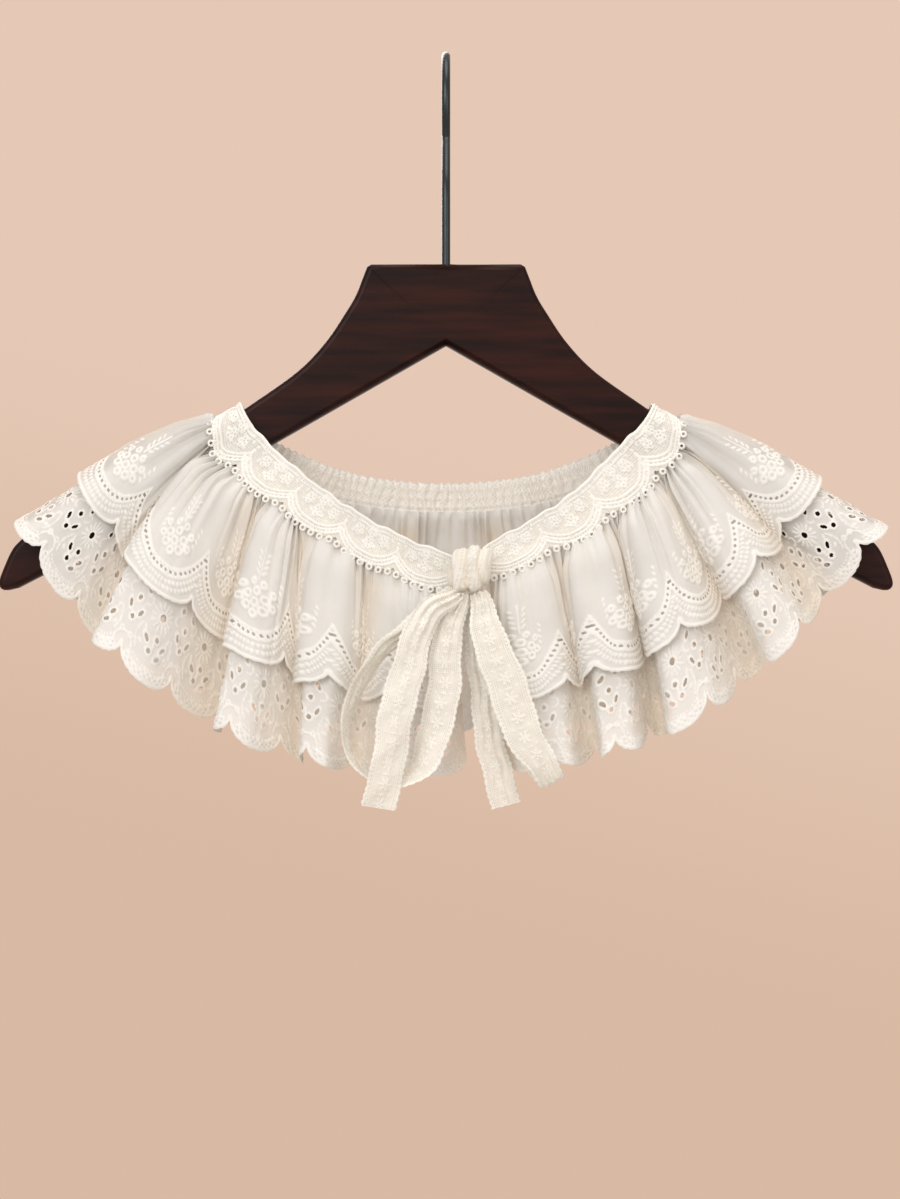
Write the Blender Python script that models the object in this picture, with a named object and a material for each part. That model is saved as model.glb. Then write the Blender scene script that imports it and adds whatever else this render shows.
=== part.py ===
# A gathered lace collar in two tiers, with a lace neckband and a ribbon bow, on a flat wooden hanger.
# X is to the right, the front faces -Y, Z is up. The origin is the inside top of the hanger's hook.
# Tables and named sizes are in millimetres, and MM turns them into metres when a mesh is made.

import math
from collections import namedtuple

import bmesh
import bpy
import numpy as np
from mathutils import Vector

MM = 0.001
SEAM_GAP = 0.3
NECK_SEAM_GAP = 0.6

# Hanger
ARM_THICKNESS = 12.0
ARM_EDGE = 2.6
ARM_SLOPE = 0.578
ARM_LINE_X = 89.9
ARM_LINE_Z = -156.2
HOOK_WIRE_RADIUS = 1.9
HOOK_CURL_RADIUS = 20.0
SHANK_DEPTH = 24.0
SHANK_CLEARANCE = 0.3
PLATEAU_Z = -91.6
HOOK_BEND = [(0.0, -62.0), (0.8, -56.0), (4.2, -49.5)]
HOOK_CURL_FROM = -52
HOOK_CURL_TO = 226
HOOK_CURL_STEP = 12

# Cloth over the arm: an arch of this half width, whose top clears the wood, and a hump in the ruffles above it
ARCH_WIDTH = 7.6
ARCH_CLEARANCE = 1.5
ARCH_WIDTH_GROWTH = 2.5
HUMP_AT_NECK = 1.5
HUMP_RISE = 5.5
HUMP_REACH = 0.4
HUMP_FALL = 0.4

# Walls, as distances out from the base surface
LOWER_INSIDE = 0.3
LOWER_WALL = 1.0
UPPER_INSIDE = 1.9
UPPER_PUFF = 2.2
UPPER_WALL = 1.0
BAND_INSIDE = 0.3
BAND_WALL = 1.7
BACK_BAND_WALL = 1.2
FESTOON_RISE = 0.5

# Depth of the collar's middle, in front of and behind the hanger, at the neck and at the hem
FRONT_NECK_DEPTH = 22.0
FRONT_HEM_DEPTH = 26.0
BACK_NECK_DEPTH = 20.0
BACK_HEM_DEPTH = 22.0

# Counts
FRONT_COLUMNS = 72
BACK_COLUMNS = 105
FRONT_LOWER_SCALLOPS = 12
FRONT_UPPER_SCALLOPS = 8
BACK_LOWER_SCALLOPS = 21
BACK_UPPER_SCALLOPS = 15
FRONT_BAND_COLUMNS = 36
FESTOON_COLUMNS = 6
BACK_BAND_RIDGES = 46
BAND_HEIGHTS = [-1.0, -0.86, -0.5, -0.16, 0.0]
BAND_CORDS = [0.2, 0.7, 0.0, 0.7, 0.2]
FESTOON_HEIGHT = -0.5
BACK_BAND_HEIGHTS = [-1.0, -0.66, -0.33, 0.0]
BACK_BAND_SHIRRING = [1.1, 0.7, 1.0, 0.5]

# Hems
LOWER_SCALLOP_DEPTH = 8.5
UPPER_SCALLOP_DEPTH = 7.5
DROP = 100.0
UPPER_SHARE = 0.66
HEM_RINGS_POWER = 3
UPPER_PUFF_END = 0.18
GATHER_DEPTH = 0.8
GATHERS_START = 0.05
GATHERS_END = 0.55
RIDGE_CLEARANCE = 0.014

# How the folds grow down the cloth, with a small flutter and a swell that keeps them from looking alike
FOLD_START = 0.12
FLUTTER = 1.2
FLUTTER_TURNS = 1.9
FLUTTER_PHASE = 0.35
SWELL = 0.08
SURFACE_STEP = 0.02
SEAM_DOWN = 0.001
CLOTH_SAMPLES = 1200

# Each section runs from the band's top edge over the neck seam to the tip of the lower hem.
# The x values are outward from the middle, so the front left table is mirrored when it is built.
Section = namedtuple("Section", "top_x top_z neck_x neck_z hem_x hem_z")

FRONT_LEFT_SECTIONS = [
    Section(86.8, -162.6, 102.0, -169.5, 185.5, -220.5),
    Section(84.0, -166.5, 100.5, -177.5, 166.0, -248.0),
    Section(77.8, -172.8, 92.0, -184.5, 142.0, -271.0),
    Section(66.6, -183.0, 80.5, -194.0, 113.0, -292.0),
    Section(52.2, -194.0, 63.0, -206.5, 83.0, -308.0),
    Section(36.0, -204.5, 43.5, -218.5, 52.0, -316.0),
    Section(18.6, -213.6, 22.0, -229.5, 21.0, -320.0),
    Section(-3.8, -222.5, -3.0, -237.0, -9.6, -319.0),
]

FRONT_RIGHT_SECTIONS = [
    Section(87.4, -162.6, 102.6, -169.5, 189.0, -221.0),
    Section(83.6, -167.0, 100.5, -178.0, 170.0, -243.0),
    Section(77.5, -172.5, 92.5, -187.0, 148.0, -266.0),
    Section(67.0, -183.5, 81.0, -197.0, 121.0, -288.0),
    Section(56.0, -194.0, 66.0, -208.5, 92.0, -304.0),
    Section(42.0, -203.5, 50.0, -217.5, 66.0, -313.0),
    Section(28.0, -211.5, 33.0, -225.0, 44.0, -317.0),
    Section(16.0, -218.5, 19.0, -232.0, 26.0, -318.0),
]

BACK_HALF_SECTIONS = [
    Section(86.8, -162.6, 100.5, -169.0, 187.0, -220.5),
    Section(82.0, -167.0, 93.0, -176.5, 164.0, -248.0),
    Section(73.0, -172.5, 82.0, -184.5, 136.0, -270.0),
    Section(58.0, -179.3, 65.0, -192.0, 104.0, -287.0),
    Section(40.0, -185.0, 44.0, -198.0, 70.0, -298.0),
    Section(20.0, -188.0, 22.0, -201.0, 35.0, -303.0),
    Section(0.0, -189.0, 0.0, -202.0, 0.0, -304.0),
]

# Where the cloth crosses the top of the arm: distances outward of the band's top, the neck seam and the hem
Ridge = namedtuple("Ridge", "top_x neck_x hem_x")
LEFT_RIDGE = Ridge(90.5, 101.6, 189.5)
RIGHT_RIDGE = Ridge(91.5, 102.4, 194.0)
BACK_RIDGE = Ridge(90.5, 101.6, 190.0)

# A fold starts in a valley, given as a section number at the neck and at the hem, and ends in the next valley.
# Its crest stands out by depth at the hem and leans toward the later sections by lean times its height.
Fold = namedtuple("Fold", "neck_row hem_row depth lean")

FRONT_LEFT_FOLDS = [
    Fold(0.0, 0.0, 9.0, 0.05),
    Fold(1.3, 2.4, 24.0, -0.35),
    Fold(4.0, 4.4, 18.0, -0.35),
    Fold(5.0, 5.6, 15.0, -0.20),
    Fold(6.5, 6.4, 11.0, 0.00),
    Fold(8.0, 8.0, 0.0, 0.0),
]

FRONT_RIGHT_FOLDS = [
    Fold(0.0, 0.0, 9.0, 0.10),
    Fold(1.3, 2.1, 18.0, 0.25),
    Fold(2.9, 3.4, 23.0, 0.35),
    Fold(4.5, 4.9, 19.5, 0.22),
    Fold(6.0, 6.0, 13.0, 0.00),
    Fold(8.0, 8.0, 0.0, 0.0),
]

BACK_FOLDS = [
    Fold(0.0, 0.0, 7.0, 0.10),
    Fold(1.5, 2.1, 16.0, 0.20),
    Fold(3.2, 3.7, 18.0, 0.15),
    Fold(4.8, 5.1, 15.0, 0.05),
    Fold(6.2, 6.4, 17.0, -0.10),
    Fold(7.9, 7.8, 15.0, 0.10),
    Fold(9.4, 9.2, 18.0, -0.15),
    Fold(11.0, 10.5, 16.0, -0.20),
    Fold(12.6, 12.0, 7.0, -0.10),
    Fold(14.0, 14.0, 0.0, 0.0),
]

# A panel of the collar: its side along X, its side along Y, its sections, ridge and folds, the depth of its
# middle at the neck and at the hem, its ruffles' columns, the scallops of each tier and whether both ends
# cross an arm
Panel = namedtuple(
    "Panel",
    "x_side y_side sections ridge folds neck_depth hem_depth columns lower_scallops upper_scallops both_ends",
)


def front_panel(x_side, sections, ridge, folds):
    shape = (x_side, -1, sections, ridge, folds, FRONT_NECK_DEPTH, FRONT_HEM_DEPTH)
    return Panel(*shape, FRONT_COLUMNS, FRONT_LOWER_SCALLOPS, FRONT_UPPER_SCALLOPS, False)


def back_panel(half_sections, ridge, folds):
    mirror = []
    for s in half_sections[-2::-1]:
        mirror.append(Section(-s.top_x, s.top_z, -s.neck_x, s.neck_z, -s.hem_x, s.hem_z))
    shape = (-1, 1, half_sections + mirror, ridge, folds, BACK_NECK_DEPTH, BACK_HEM_DEPTH)
    return Panel(*shape, BACK_COLUMNS, BACK_LOWER_SCALLOPS, BACK_UPPER_SCALLOPS, True)


FRONT_LEFT = front_panel(-1, FRONT_LEFT_SECTIONS, LEFT_RIDGE, FRONT_LEFT_FOLDS)
FRONT_RIGHT = front_panel(1, FRONT_RIGHT_SECTIONS, RIGHT_RIDGE, FRONT_RIGHT_FOLDS)
BACK = back_panel(BACK_HALF_SECTIONS, BACK_RIDGE, BACK_FOLDS)

# Heights down the ruffles where a ring of points lies, as shares of the drop. The last is the hem.
LOWER_RINGS = [0.0, 0.16, 0.42, 0.70, 1.0]
LOWER_BACK_RINGS = [0.0, 0.14, 0.42, 0.72, 1.0]
UPPER_RINGS = [0.0, 0.08, 0.22, 0.40, 0.56, UPPER_SHARE]

# The ribbon's route by its middle line. The width narrows where it is gathered into the knot, and roll turns it
# about its own line: at 0 it faces the front, at 90 it is seen edge-on.
Ribbon = namedtuple("Ribbon", "x y z width roll")
RIBBON_WALL = 1.0
RIBBON_CUP = 0.6

LEFT_TAIL = [
    Ribbon(5.0, -37.6, -238.7, 8.0, 0.0),
    Ribbon(-6.5, -43.5, -247.0, 12.0, -4.0),
    Ribbon(-14.5, -48.5, -264.0, 15.0, -6.0),
    Ribbon(-20.5, -53.5, -288.0, 15.5, 3.0),
    Ribbon(-25.3, -56.0, -313.0, 15.5, -3.0),
    Ribbon(-28.5, -56.0, -332.0, 15.5, 0.0),
]

LEFT_LOOP = [
    Ribbon(6.5, -35.4, -238.9, 7.5, 0.0),
    Ribbon(1.0, -40.0, -259.0, 13.0, 8.0),
    Ribbon(-1.5, -42.5, -282.0, 15.0, 10.0),
    Ribbon(-5.5, -44.5, -303.0, 15.0, 20.0),
    Ribbon(-13.0, -45.5, -316.0, 14.5, 52.0),
    Ribbon(-25.0, -45.5, -321.0, 14.5, 74.0),
    Ribbon(-37.0, -45.5, -316.5, 14.5, 80.0),
    Ribbon(-43.5, -45.5, -304.0, 14.5, 78.0),
    Ribbon(-42.0, -44.5, -288.0, 14.5, 72.0),
    Ribbon(-31.0, -41.0, -268.0, 13.0, 62.0),
    Ribbon(-14.0, -37.0, -252.0, 9.0, 40.0),
    Ribbon(3.5, -31.6, -238.6, 6.0, 5.0),
]

RIGHT_LOOP = [
    Ribbon(14.0, -36.6, -238.8, 8.0, 0.0),
    Ribbon(18.5, -43.0, -256.0, 14.5, 6.0),
    Ribbon(27.0, -46.5, -281.0, 17.5, 4.0),
    Ribbon(36.0, -48.0, -304.0, 16.0, -8.0),
    Ribbon(43.0, -47.5, -315.0, 12.5, 0.0),
    Ribbon(46.5, -44.2, -321.5, 11.5, 0.0),
    Ribbon(42.5, -40.6, -315.0, 12.5, 0.0),
    Ribbon(35.0, -40.7, -302.0, 15.0, -4.0),
    Ribbon(25.5, -39.6, -279.0, 15.0, 4.0),
    Ribbon(18.0, -38.0, -256.0, 12.0, 4.0),
    Ribbon(14.5, -33.4, -239.2, 8.0, 0.0),
]

RIGHT_TAIL = [
    Ribbon(13.0, -30.6, -238.9, 8.0, 0.0),
    Ribbon(14.5, -32.5, -262.0, 11.5, 6.0),
    Ribbon(17.6, -34.5, -290.0, 12.5, -4.0),
    Ribbon(22.0, -35.5, -316.0, 13.0, 4.0),
    Ribbon(26.2, -36.0, -332.0, 13.0, 0.0),
]

KNOT_MIDDLE = (10.5, -32.6, -228.4)
KNOT_HALF = (9.5, 7.22, 9.69)
KNOT_POWER = 3
KNOT_WRAP = 0.05
KNOT_WRAPS = 9.0
KNOT_SLOPE = 3.0

# The wood's outline on the outward side, from the plateau's corner along the top to the tip and back below
Point = namedtuple("Point", "x z")
ARM_TOP = [
    Point(35.4, -92.8),
    Point(37.4, -98.0),
    Point(40.4, -105.5),
    Point(44.8, -113.0),
    Point(54.0, -126.6),
    Point(67.0, -140.0),
    Point(ARM_LINE_X, ARM_LINE_Z),
]
ARM_TIP = [
    Point(188.3, -213.1),
    Point(193.6, -218.6),
    Point(197.4, -226.5),
    Point(200.0, -234.2),
    Point(197.6, -237.4),
    Point(191.6, -236.4),
    Point(177.3, -229.0),
]
ARM_APEX = Point(0.0, -127.9)
PLATEAU_CORNER_X = 33.4

WOOD = ("hanger_wood", (0.024, 0.005, 0.003, 1.0), 0.35, 0.0)
METAL = ("hook_metal", (0.012, 0.014, 0.016, 1.0), 0.35, 0.9)
CLOTH = ("eyelet_cloth", (0.86, 0.83, 0.78, 1.0), 0.85, 0.0)
LACE = ("guipure_lace", (0.88, 0.84, 0.75, 1.0), 0.8, 0.0)
RIBBON = ("ribbon_lace", (0.9, 0.85, 0.74, 1.0), 0.75, 0.0)


def clear_scene():
    for ob in list(bpy.data.objects):
        bpy.data.objects.remove(ob)


def material(kind):
    name, colour, roughness, metallic = kind
    made = bpy.data.materials.get(name) or bpy.data.materials.new(name)
    made.use_nodes = True
    shader = made.node_tree.nodes["Principled BSDF"]
    shader.inputs["Base Color"].default_value = colour
    shader.inputs["Roughness"].default_value = roughness
    shader.inputs["Metallic"].default_value = metallic
    return made


def add_object(name, bm, kind, parent):
    mesh = bpy.data.meshes.new(name)
    bm.to_mesh(mesh)
    bm.free()
    mesh.shade_smooth()
    mesh.set_sharp_from_angle(angle=math.radians(50))
    mesh.materials.append(material(kind))
    ob = bpy.data.objects.new(name, mesh)
    ob.parent = parent
    bpy.context.collection.objects.link(ob)
    return ob


def smooth(share):
    share = np.clip(share, 0.0, 1.0)
    return share * share * (3.0 - 2.0 * share)


# A smooth curve through the values at 0, 1, 2 and so on
def through(values, at):
    values = np.asarray(values, float)
    at = np.clip(np.asarray(at, float), 0.0, len(values) - 1.0)
    first = np.minimum(np.floor(at).astype(int), len(values) - 2)
    share = at - first
    slopes = np.gradient(values)
    start = values[first]
    end = values[first + 1]
    start_slope = slopes[first]
    end_slope = slopes[first + 1]
    squared = share**2
    cubed = share**3
    return (
        start * (2 * cubed - 3 * squared + 1)
        + start_slope * (cubed - 2 * squared + share)
        + end * (3 * squared - 2 * cubed)
        + end_slope * (cubed - squared)
    )


# How far the cloth stands up from the arm along its top, growing from the neck seam
def hump(down):
    return HUMP_AT_NECK + HUMP_RISE * smooth(down / HUMP_REACH) * (1.0 - HUMP_FALL * np.clip(down, 0.0, 1.0))


def between_edges(panel, column, row, down):
    names = ["top", "neck"] if np.all(down <= 0) else ["neck", "hem"]
    share = down + 1.0 if names[0] == "top" else down
    upper = through([getattr(s, names[0] + "_" + column) for s in panel.sections], row)
    lower = through([getattr(s, names[1] + "_" + column) for s in panel.sections], row)
    return upper + (lower - upper) * share


# The unfolded surface in outward x, y and z. Row 0 is the ridge over the arm, row 1 the first section.
# Down is -1 at the band's top edge, 0 at the neck seam and 1 at the lower hem.
def base_surface(panel, row, down):
    last_row = len(panel.sections)
    mirrored = np.zeros_like(row, bool)
    if panel.both_ends:
        last_row = last_row + 1
        mirrored = row > last_row / 2
    near = np.where(mirrored, last_row - row, row)
    index = np.clip(row - 1.0, 0.0, len(panel.sections) - 1.0)
    x = between_edges(panel, "x", index, down)
    z = between_edges(panel, "z", index, down)
    progress = index / (len(panel.sections) - 1.0)
    ease = smooth(2.0 * np.minimum(progress, 1.0 - progress)) if panel.both_ends else smooth(progress)
    below = np.clip(down, 0.0, 1.0)
    width = ARCH_WIDTH + ARCH_WIDTH_GROWTH * below
    middle = panel.neck_depth + (panel.hem_depth - panel.neck_depth) * below
    y = width + (middle - width) * ease

    # The arch over the arm, in the arm's own directions
    arm_angle = math.atan(ARM_SLOPE)
    along = np.array([math.cos(arm_angle), -math.sin(arm_angle)])
    across = np.array([-math.sin(arm_angle), -math.cos(arm_angle)])
    turn = np.clip(near, 0.0, 1.0) * np.pi / 2
    names = panel.ridge
    if np.all(down <= 0):
        ridge_x = names.top_x + (names.neck_x - names.top_x) * (down + 1.0)
    else:
        ridge_x = names.neck_x + (names.hem_x - names.neck_x) * down
    ridge_z = ARM_LINE_Z - (ridge_x - ARM_LINE_X) * ARM_SLOPE
    side = np.where(mirrored, -1.0, 1.0)
    foot_x = x * side
    reach = (foot_x - ridge_x) * along[0] + (z - ridge_z) * along[1]
    rise = np.where(down > 0, hump(down), 0.0)
    depth_below = (foot_x - ridge_x) * across[0] + (z - ridge_z) * across[1]
    height = depth_below + ARCH_CLEARANCE + rise
    sunk = depth_below - height * np.cos(turn)
    shifted = reach * (1.0 - np.cos(turn))
    arch_x = ridge_x + along[0] * shifted + across[0] * sunk
    arch_z = ridge_z + along[1] * shifted + across[1] * sunk
    over = near < 1.0
    x = np.where(over, arch_x * side, x)
    z = np.where(over, arch_z, z)
    y = np.where(over, width * np.sin(turn), y)
    return np.stack([x * panel.x_side, y * panel.y_side, z], -1)


# The section number of a place given in folds: 2.5 is the crest of the third fold
def row_of_fold(panel, place, down):
    valleys = np.clip(down, 0.0, 1.0)[..., None]
    neck = np.array([f.neck_row for f in panel.folds])
    hem = np.array([f.hem_row for f in panel.folds])
    rows = neck + (hem - neck) * valleys
    first = np.clip(np.floor(place).astype(int), 0, len(panel.folds) - 2)
    share = place - first
    start = np.take_along_axis(rows, first[..., None], -1)[..., 0]
    end = np.take_along_axis(rows, first[..., None] + 1, -1)[..., 0]
    return start + (end - start) * share


def unit(vectors):
    return vectors / np.maximum(np.linalg.norm(vectors, axis=-1, keepdims=True), 1e-9)


# Unit vectors along the rows and out of a surface, from small steps on it
def directions(surface, panel, place, down):
    step = SURFACE_STEP
    ahead = surface(panel, place + step, down)
    behind = surface(panel, np.maximum(place - step, 0.0), down)
    sideways = unit(ahead - behind)
    if np.all(down <= 0):
        low, high = np.clip(down - step, -1.0, 0.0), np.clip(down + step, -1.0, 0.0)
    else:
        low, high = np.clip(down - step, SEAM_DOWN, 1.0), np.clip(down + step, SEAM_DOWN, 1.0)
    downward = surface(panel, place, high) - surface(panel, place, low)
    out = unit(np.cross(downward, sideways)) * (panel.x_side * panel.y_side)
    return sideways, out


def base_by_fold(panel, place, down):
    return base_surface(panel, row_of_fold(panel, place, down), down)


# Folds start flat at the neck seam and reach their full depth at the hem
def fold_growth(down):
    down = np.clip(down, 0.0, 1.0)
    return (1.0 + FOLD_START) * down**2 / (down + FOLD_START)


# The folded surface that both tiers follow
def folded_surface(panel, place, down):
    base = base_by_fold(panel, place, down)
    sideways, out = directions(base_by_fold, panel, place, down)
    first = np.clip(np.floor(place).astype(int), 0, len(panel.folds) - 2)
    depth = np.array([f.depth for f in panel.folds])[first]
    lean = np.array([f.lean for f in panel.folds])[first]
    angle = 2 * np.pi * (place - first)
    growth = fold_growth(down)
    height = depth * growth * (1.0 - np.cos(angle)) / 2
    waves = np.sin(2 * np.pi * (FLUTTER_TURNS * place + FLUTTER_PHASE))
    flutter = FLUTTER * growth * waves * np.sin(angle / 2) ** 2
    swell = SWELL * depth * growth * np.sin(2 * angle)
    return base + out * (height + flutter)[..., None] + sideways * (lean * height + swell)[..., None]


# Places in folds at equal steps of cloth, measured along the folded hem
def places_by_cloth(panel, count):
    fine = np.linspace(0.0, len(panel.folds) - 1.0, CLOTH_SAMPLES)
    line = folded_surface(panel, fine, np.ones_like(fine))
    length = np.concatenate([[0.0], np.cumsum(np.linalg.norm(np.diff(line, axis=0), axis=1))])
    places = np.interp(np.linspace(0.0, length[-1], count + 1), length, fine)
    print("hem cloth of a panel, mm:", round(length[-1], 1))
    return places


# How far a hem rises at each column of a row of round scallops
def scallop_rise(columns, scallops, depth):
    per_scallop = columns // scallops
    phase = (np.arange(columns + 1) % per_scallop) / per_scallop
    return depth * (1.0 - np.sqrt(np.maximum(0.0, 1.0 - (2.0 * phase - 1.0) ** 2)))


def wall_from_grids(inner, outer):
    rings, columns = inner.shape[0] - 1, inner.shape[1] - 1
    bm = bmesh.new()
    bmesh.ops.create_grid(bm, x_segments=columns, y_segments=rings, size=1.0)
    index = bm.verts.layers.int.new("index")
    bm.verts.ensure_lookup_table()
    for number, vert in enumerate(bm.verts):
        vert[index] = number
    bmesh.ops.triangulate(bm, faces=bm.faces[:], quad_method="FIXED")
    made = bmesh.ops.extrude_face_region(bm, geom=bm.faces[:], use_keep_orig=True)
    raised = [item for item in made["geom"] if isinstance(item, bmesh.types.BMVert)]
    inner_points = inner.reshape(-1, 3) * MM
    outer_points = outer.reshape(-1, 3) * MM
    for vert in bm.verts:
        vert.co = Vector(inner_points[vert[index]])
    for vert in raised:
        vert.co = Vector(outer_points[vert[index]])
    bmesh.ops.triangulate(bm, faces=bm.faces[:])
    bmesh.ops.recalc_face_normals(bm, faces=bm.faces[:])
    return bm


# Both ends of a panel stop half a seam gap from the ridge
def clear_of_ridge(panel, places):
    places = places.copy()
    places[0] = RIDGE_CLEARANCE
    if panel.both_ends:
        places[-1] = places[-1] - RIDGE_CLEARANCE
    return places


def ruffle(name, panel, rings, inside, wall, scallops, scallop_depth, gathers, parent):
    places = clear_of_ridge(panel, places_by_cloth(panel, panel.columns))
    rise = scallop_rise(panel.columns, scallops, scallop_depth) / DROP
    down = np.repeat(np.array(rings)[:, None], len(places), 1)
    down = np.maximum(down, NECK_SEAM_GAP / DROP)
    down = down - rise * (np.array(rings) / rings[-1])[:, None] ** HEM_RINGS_POWER
    place = np.repeat(places[None, :], len(rings), 0)
    surface = folded_surface(panel, place, down)
    out = directions(folded_surface, panel, place, down)[1]
    zigzag = np.where(np.arange(len(places)) % 2 == 0, 1.0, -1.0)
    fade = np.clip(down / GATHERS_START, 0.0, 1.0) * np.clip(1.0 - down / GATHERS_END, 0.0, 1.0)
    offset = inside(down) + gathers * fade * zigzag
    bm = wall_from_grids(surface + out * offset[..., None], surface + out * (offset + wall)[..., None])
    add_object(name, bm, CLOTH, parent)


def lower_inside(down):
    return np.full_like(down, LOWER_INSIDE)


def upper_inside(down):
    return UPPER_INSIDE + UPPER_PUFF * smooth(down / UPPER_PUFF_END)


def front_band(name, panel, parent):
    rows = np.linspace(0.0, len(panel.sections), FRONT_BAND_COLUMNS + 1)
    rows[0] = RIDGE_CLEARANCE
    heights = np.array(BAND_HEIGHTS)
    place = np.repeat(rows[None, :], len(heights), 0)
    down = np.repeat(heights[:, None], len(rows), 1)
    surface = base_surface(panel, place, down)
    out = directions(base_surface, panel, place, down)[1]
    cord = np.array(BAND_CORDS)[:, None]
    festoon = FESTOON_RISE * np.sin(np.pi * np.arange(len(rows)) / FESTOON_COLUMNS) ** 2
    raised = cord + festoon[None, :] * (heights == FESTOON_HEIGHT)[:, None]
    inner = surface + out * BAND_INSIDE
    outer = surface + out * (BAND_INSIDE + BAND_WALL + raised)[..., None]
    add_object(name, wall_from_grids(inner, outer), LACE, parent)


def back_band(parent):
    rows = np.linspace(0.0, len(BACK.sections) + 1.0, 2 * BACK_BAND_RIDGES + 1)
    rows[0] = RIDGE_CLEARANCE
    rows[-1] = rows[-1] - RIDGE_CLEARANCE
    heights = np.array(BACK_BAND_HEIGHTS)
    place = np.repeat(rows[None, :], len(heights), 0)
    down = np.repeat(heights[:, None], len(rows), 1)
    surface = base_surface(BACK, place, down)
    out = directions(base_surface, BACK, place, down)[1]
    zigzag = np.where(np.arange(len(rows)) % 2 == 0, 0.0, 1.0)
    shirr = np.array(BACK_BAND_SHIRRING)[:, None] * zigzag[None, :]
    inner = surface + out * (BAND_INSIDE + shirr)[..., None]
    outer = surface + out * (BAND_INSIDE + BACK_BAND_WALL + shirr)[..., None]
    add_object("neckband_back", wall_from_grids(inner, outer), LACE, parent)


def ribbon(name, route, columns, parent):
    at = np.linspace(0.0, len(route) - 1.0, columns + 1)
    line = np.stack([through([getattr(p, axis) for p in route], at) for axis in "xyz"], -1)
    width = through([p.width for p in route], at)
    roll = np.radians(through([p.roll for p in route], at))
    along = unit(np.gradient(line, axis=0))
    flat = np.zeros_like(along)
    flat[0] = unit(np.array([-along[0, 2], 0.0, along[0, 0]]))
    for index in range(1, len(at)):
        carried = flat[index - 1]
        flat[index] = unit(carried - along[index] * np.dot(carried, along[index]))
    facing = unit(np.cross(along, flat))
    across = flat * np.cos(roll)[:, None] + facing * np.sin(roll)[:, None]
    normal = unit(np.cross(along, across))
    share = np.array([-0.5, 0.0, 0.5])
    cup = np.array([0.0, RIBBON_CUP, 0.0])
    grid = line[None] + across[None] * (share[:, None] * width[None])[..., None]
    grid = grid + normal[None] * cup[:, None, None]
    bm = wall_from_grids(grid - normal[None] * RIBBON_WALL / 2, grid + normal[None] * RIBBON_WALL / 2)
    add_object(name, bm, RIBBON, parent)


# The knot is a rounded pad with soft wraps that slope across it
def bow_knot(parent):
    bm = bmesh.new()
    bmesh.ops.create_uvsphere(bm, u_segments=20, v_segments=12, radius=1.0)
    for vert in bm.verts:
        x, y, z = vert.co
        square = (abs(x) ** KNOT_POWER + abs(y) ** KNOT_POWER + abs(z) ** KNOT_POWER) ** (1 / KNOT_POWER)
        wrap = 1.0 + KNOT_WRAP * math.cos(KNOT_WRAPS * z + KNOT_SLOPE * x)
        shape = Vector((x * KNOT_HALF[0], y * KNOT_HALF[1], z * KNOT_HALF[2]))
        vert.co = (shape * wrap / square + Vector(KNOT_MIDDLE)) * MM
    bmesh.ops.recalc_face_normals(bm, faces=bm.faces[:])
    add_object("bow_knot", bm, RIBBON, parent)


def arm_outline():
    corner = [Point(PLATEAU_CORNER_X, PLATEAU_Z)]
    at = np.linspace(0.0, len(ARM_TOP) - 1.0, 2 * len(ARM_TOP) - 1)
    top_x = through([p.x for p in ARM_TOP], at)
    top_z = through([p.z for p in ARM_TOP], at)
    top = [Point(x, z) for x, z in zip(top_x, top_z)]
    return corner + top + ARM_TIP


# One board with rounded edges, cut down the middle, with a bore for the hook's shank
def hanger_arms(parent):
    right = arm_outline()
    left = [Point(-p.x, p.z) for p in reversed(right)]
    outline = right + [ARM_APEX] + left
    for name, side in (("hanger_arm_left", -1), ("hanger_arm_right", 1)):
        bm = bmesh.new()
        half = ARM_THICKNESS / 2
        ring = [bm.verts.new(Vector((p.x, -half, p.z)) * MM) for p in outline]
        face = bm.faces.new(ring)
        made = bmesh.ops.extrude_face_region(bm, geom=[face], use_keep_orig=True)
        raised = [item for item in made["geom"] if isinstance(item, bmesh.types.BMVert)]
        bmesh.ops.translate(bm, verts=raised, vec=Vector((0, ARM_THICKNESS * MM, 0)))
        bmesh.ops.recalc_face_normals(bm, faces=bm.faces[:])
        edges = [e for e in bm.edges if abs(e.verts[0].co.y - e.verts[1].co.y) < 1e-6]
        bmesh.ops.bevel(
            bm,
            geom=edges,
            offset=ARM_EDGE * MM,
            offset_type="OFFSET",
            segments=2,
            profile=0.5,
            affect="EDGES",
        )
        cut = bmesh.ops.bisect_plane(
            bm,
            geom=bm.verts[:] + bm.edges[:] + bm.faces[:],
            plane_co=Vector((side * SEAM_GAP / 2 * MM, 0, 0)),
            plane_no=Vector((-side, 0, 0)),
            clear_outer=True,
        )
        rim = [item for item in cut["geom_cut"] if isinstance(item, bmesh.types.BMEdge)]
        bmesh.ops.contextual_create(bm, geom=rim)
        bmesh.ops.recalc_face_normals(bm, faces=bm.faces[:])
        ob = add_object(name, bm, WOOD, parent)
        bore = ob.modifiers.new("shank bore", "BOOLEAN")
        bore.operation = "DIFFERENCE"
        bore.object = shank_cutter(parent)
        bore.solver = "EXACT"


def shank_cutter(parent):
    existing = bpy.data.objects.get("shank_cutter")
    if existing:
        return existing
    bm = bmesh.new()
    length = SHANK_DEPTH + SHANK_CLEARANCE + 10.0
    bmesh.ops.create_cone(
        bm,
        cap_ends=True,
        segments=16,
        radius1=(HOOK_WIRE_RADIUS + SHANK_CLEARANCE) * MM,
        radius2=(HOOK_WIRE_RADIUS + SHANK_CLEARANCE) * MM,
        depth=length * MM,
    )
    ob = add_object("shank_cutter", bm, METAL, parent)
    ob.location = (0, 0, (PLATEAU_Z + 10.0 - length / 2) * MM)
    ob.hide_render = True
    ob.display_type = "WIRE"
    return ob


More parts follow.
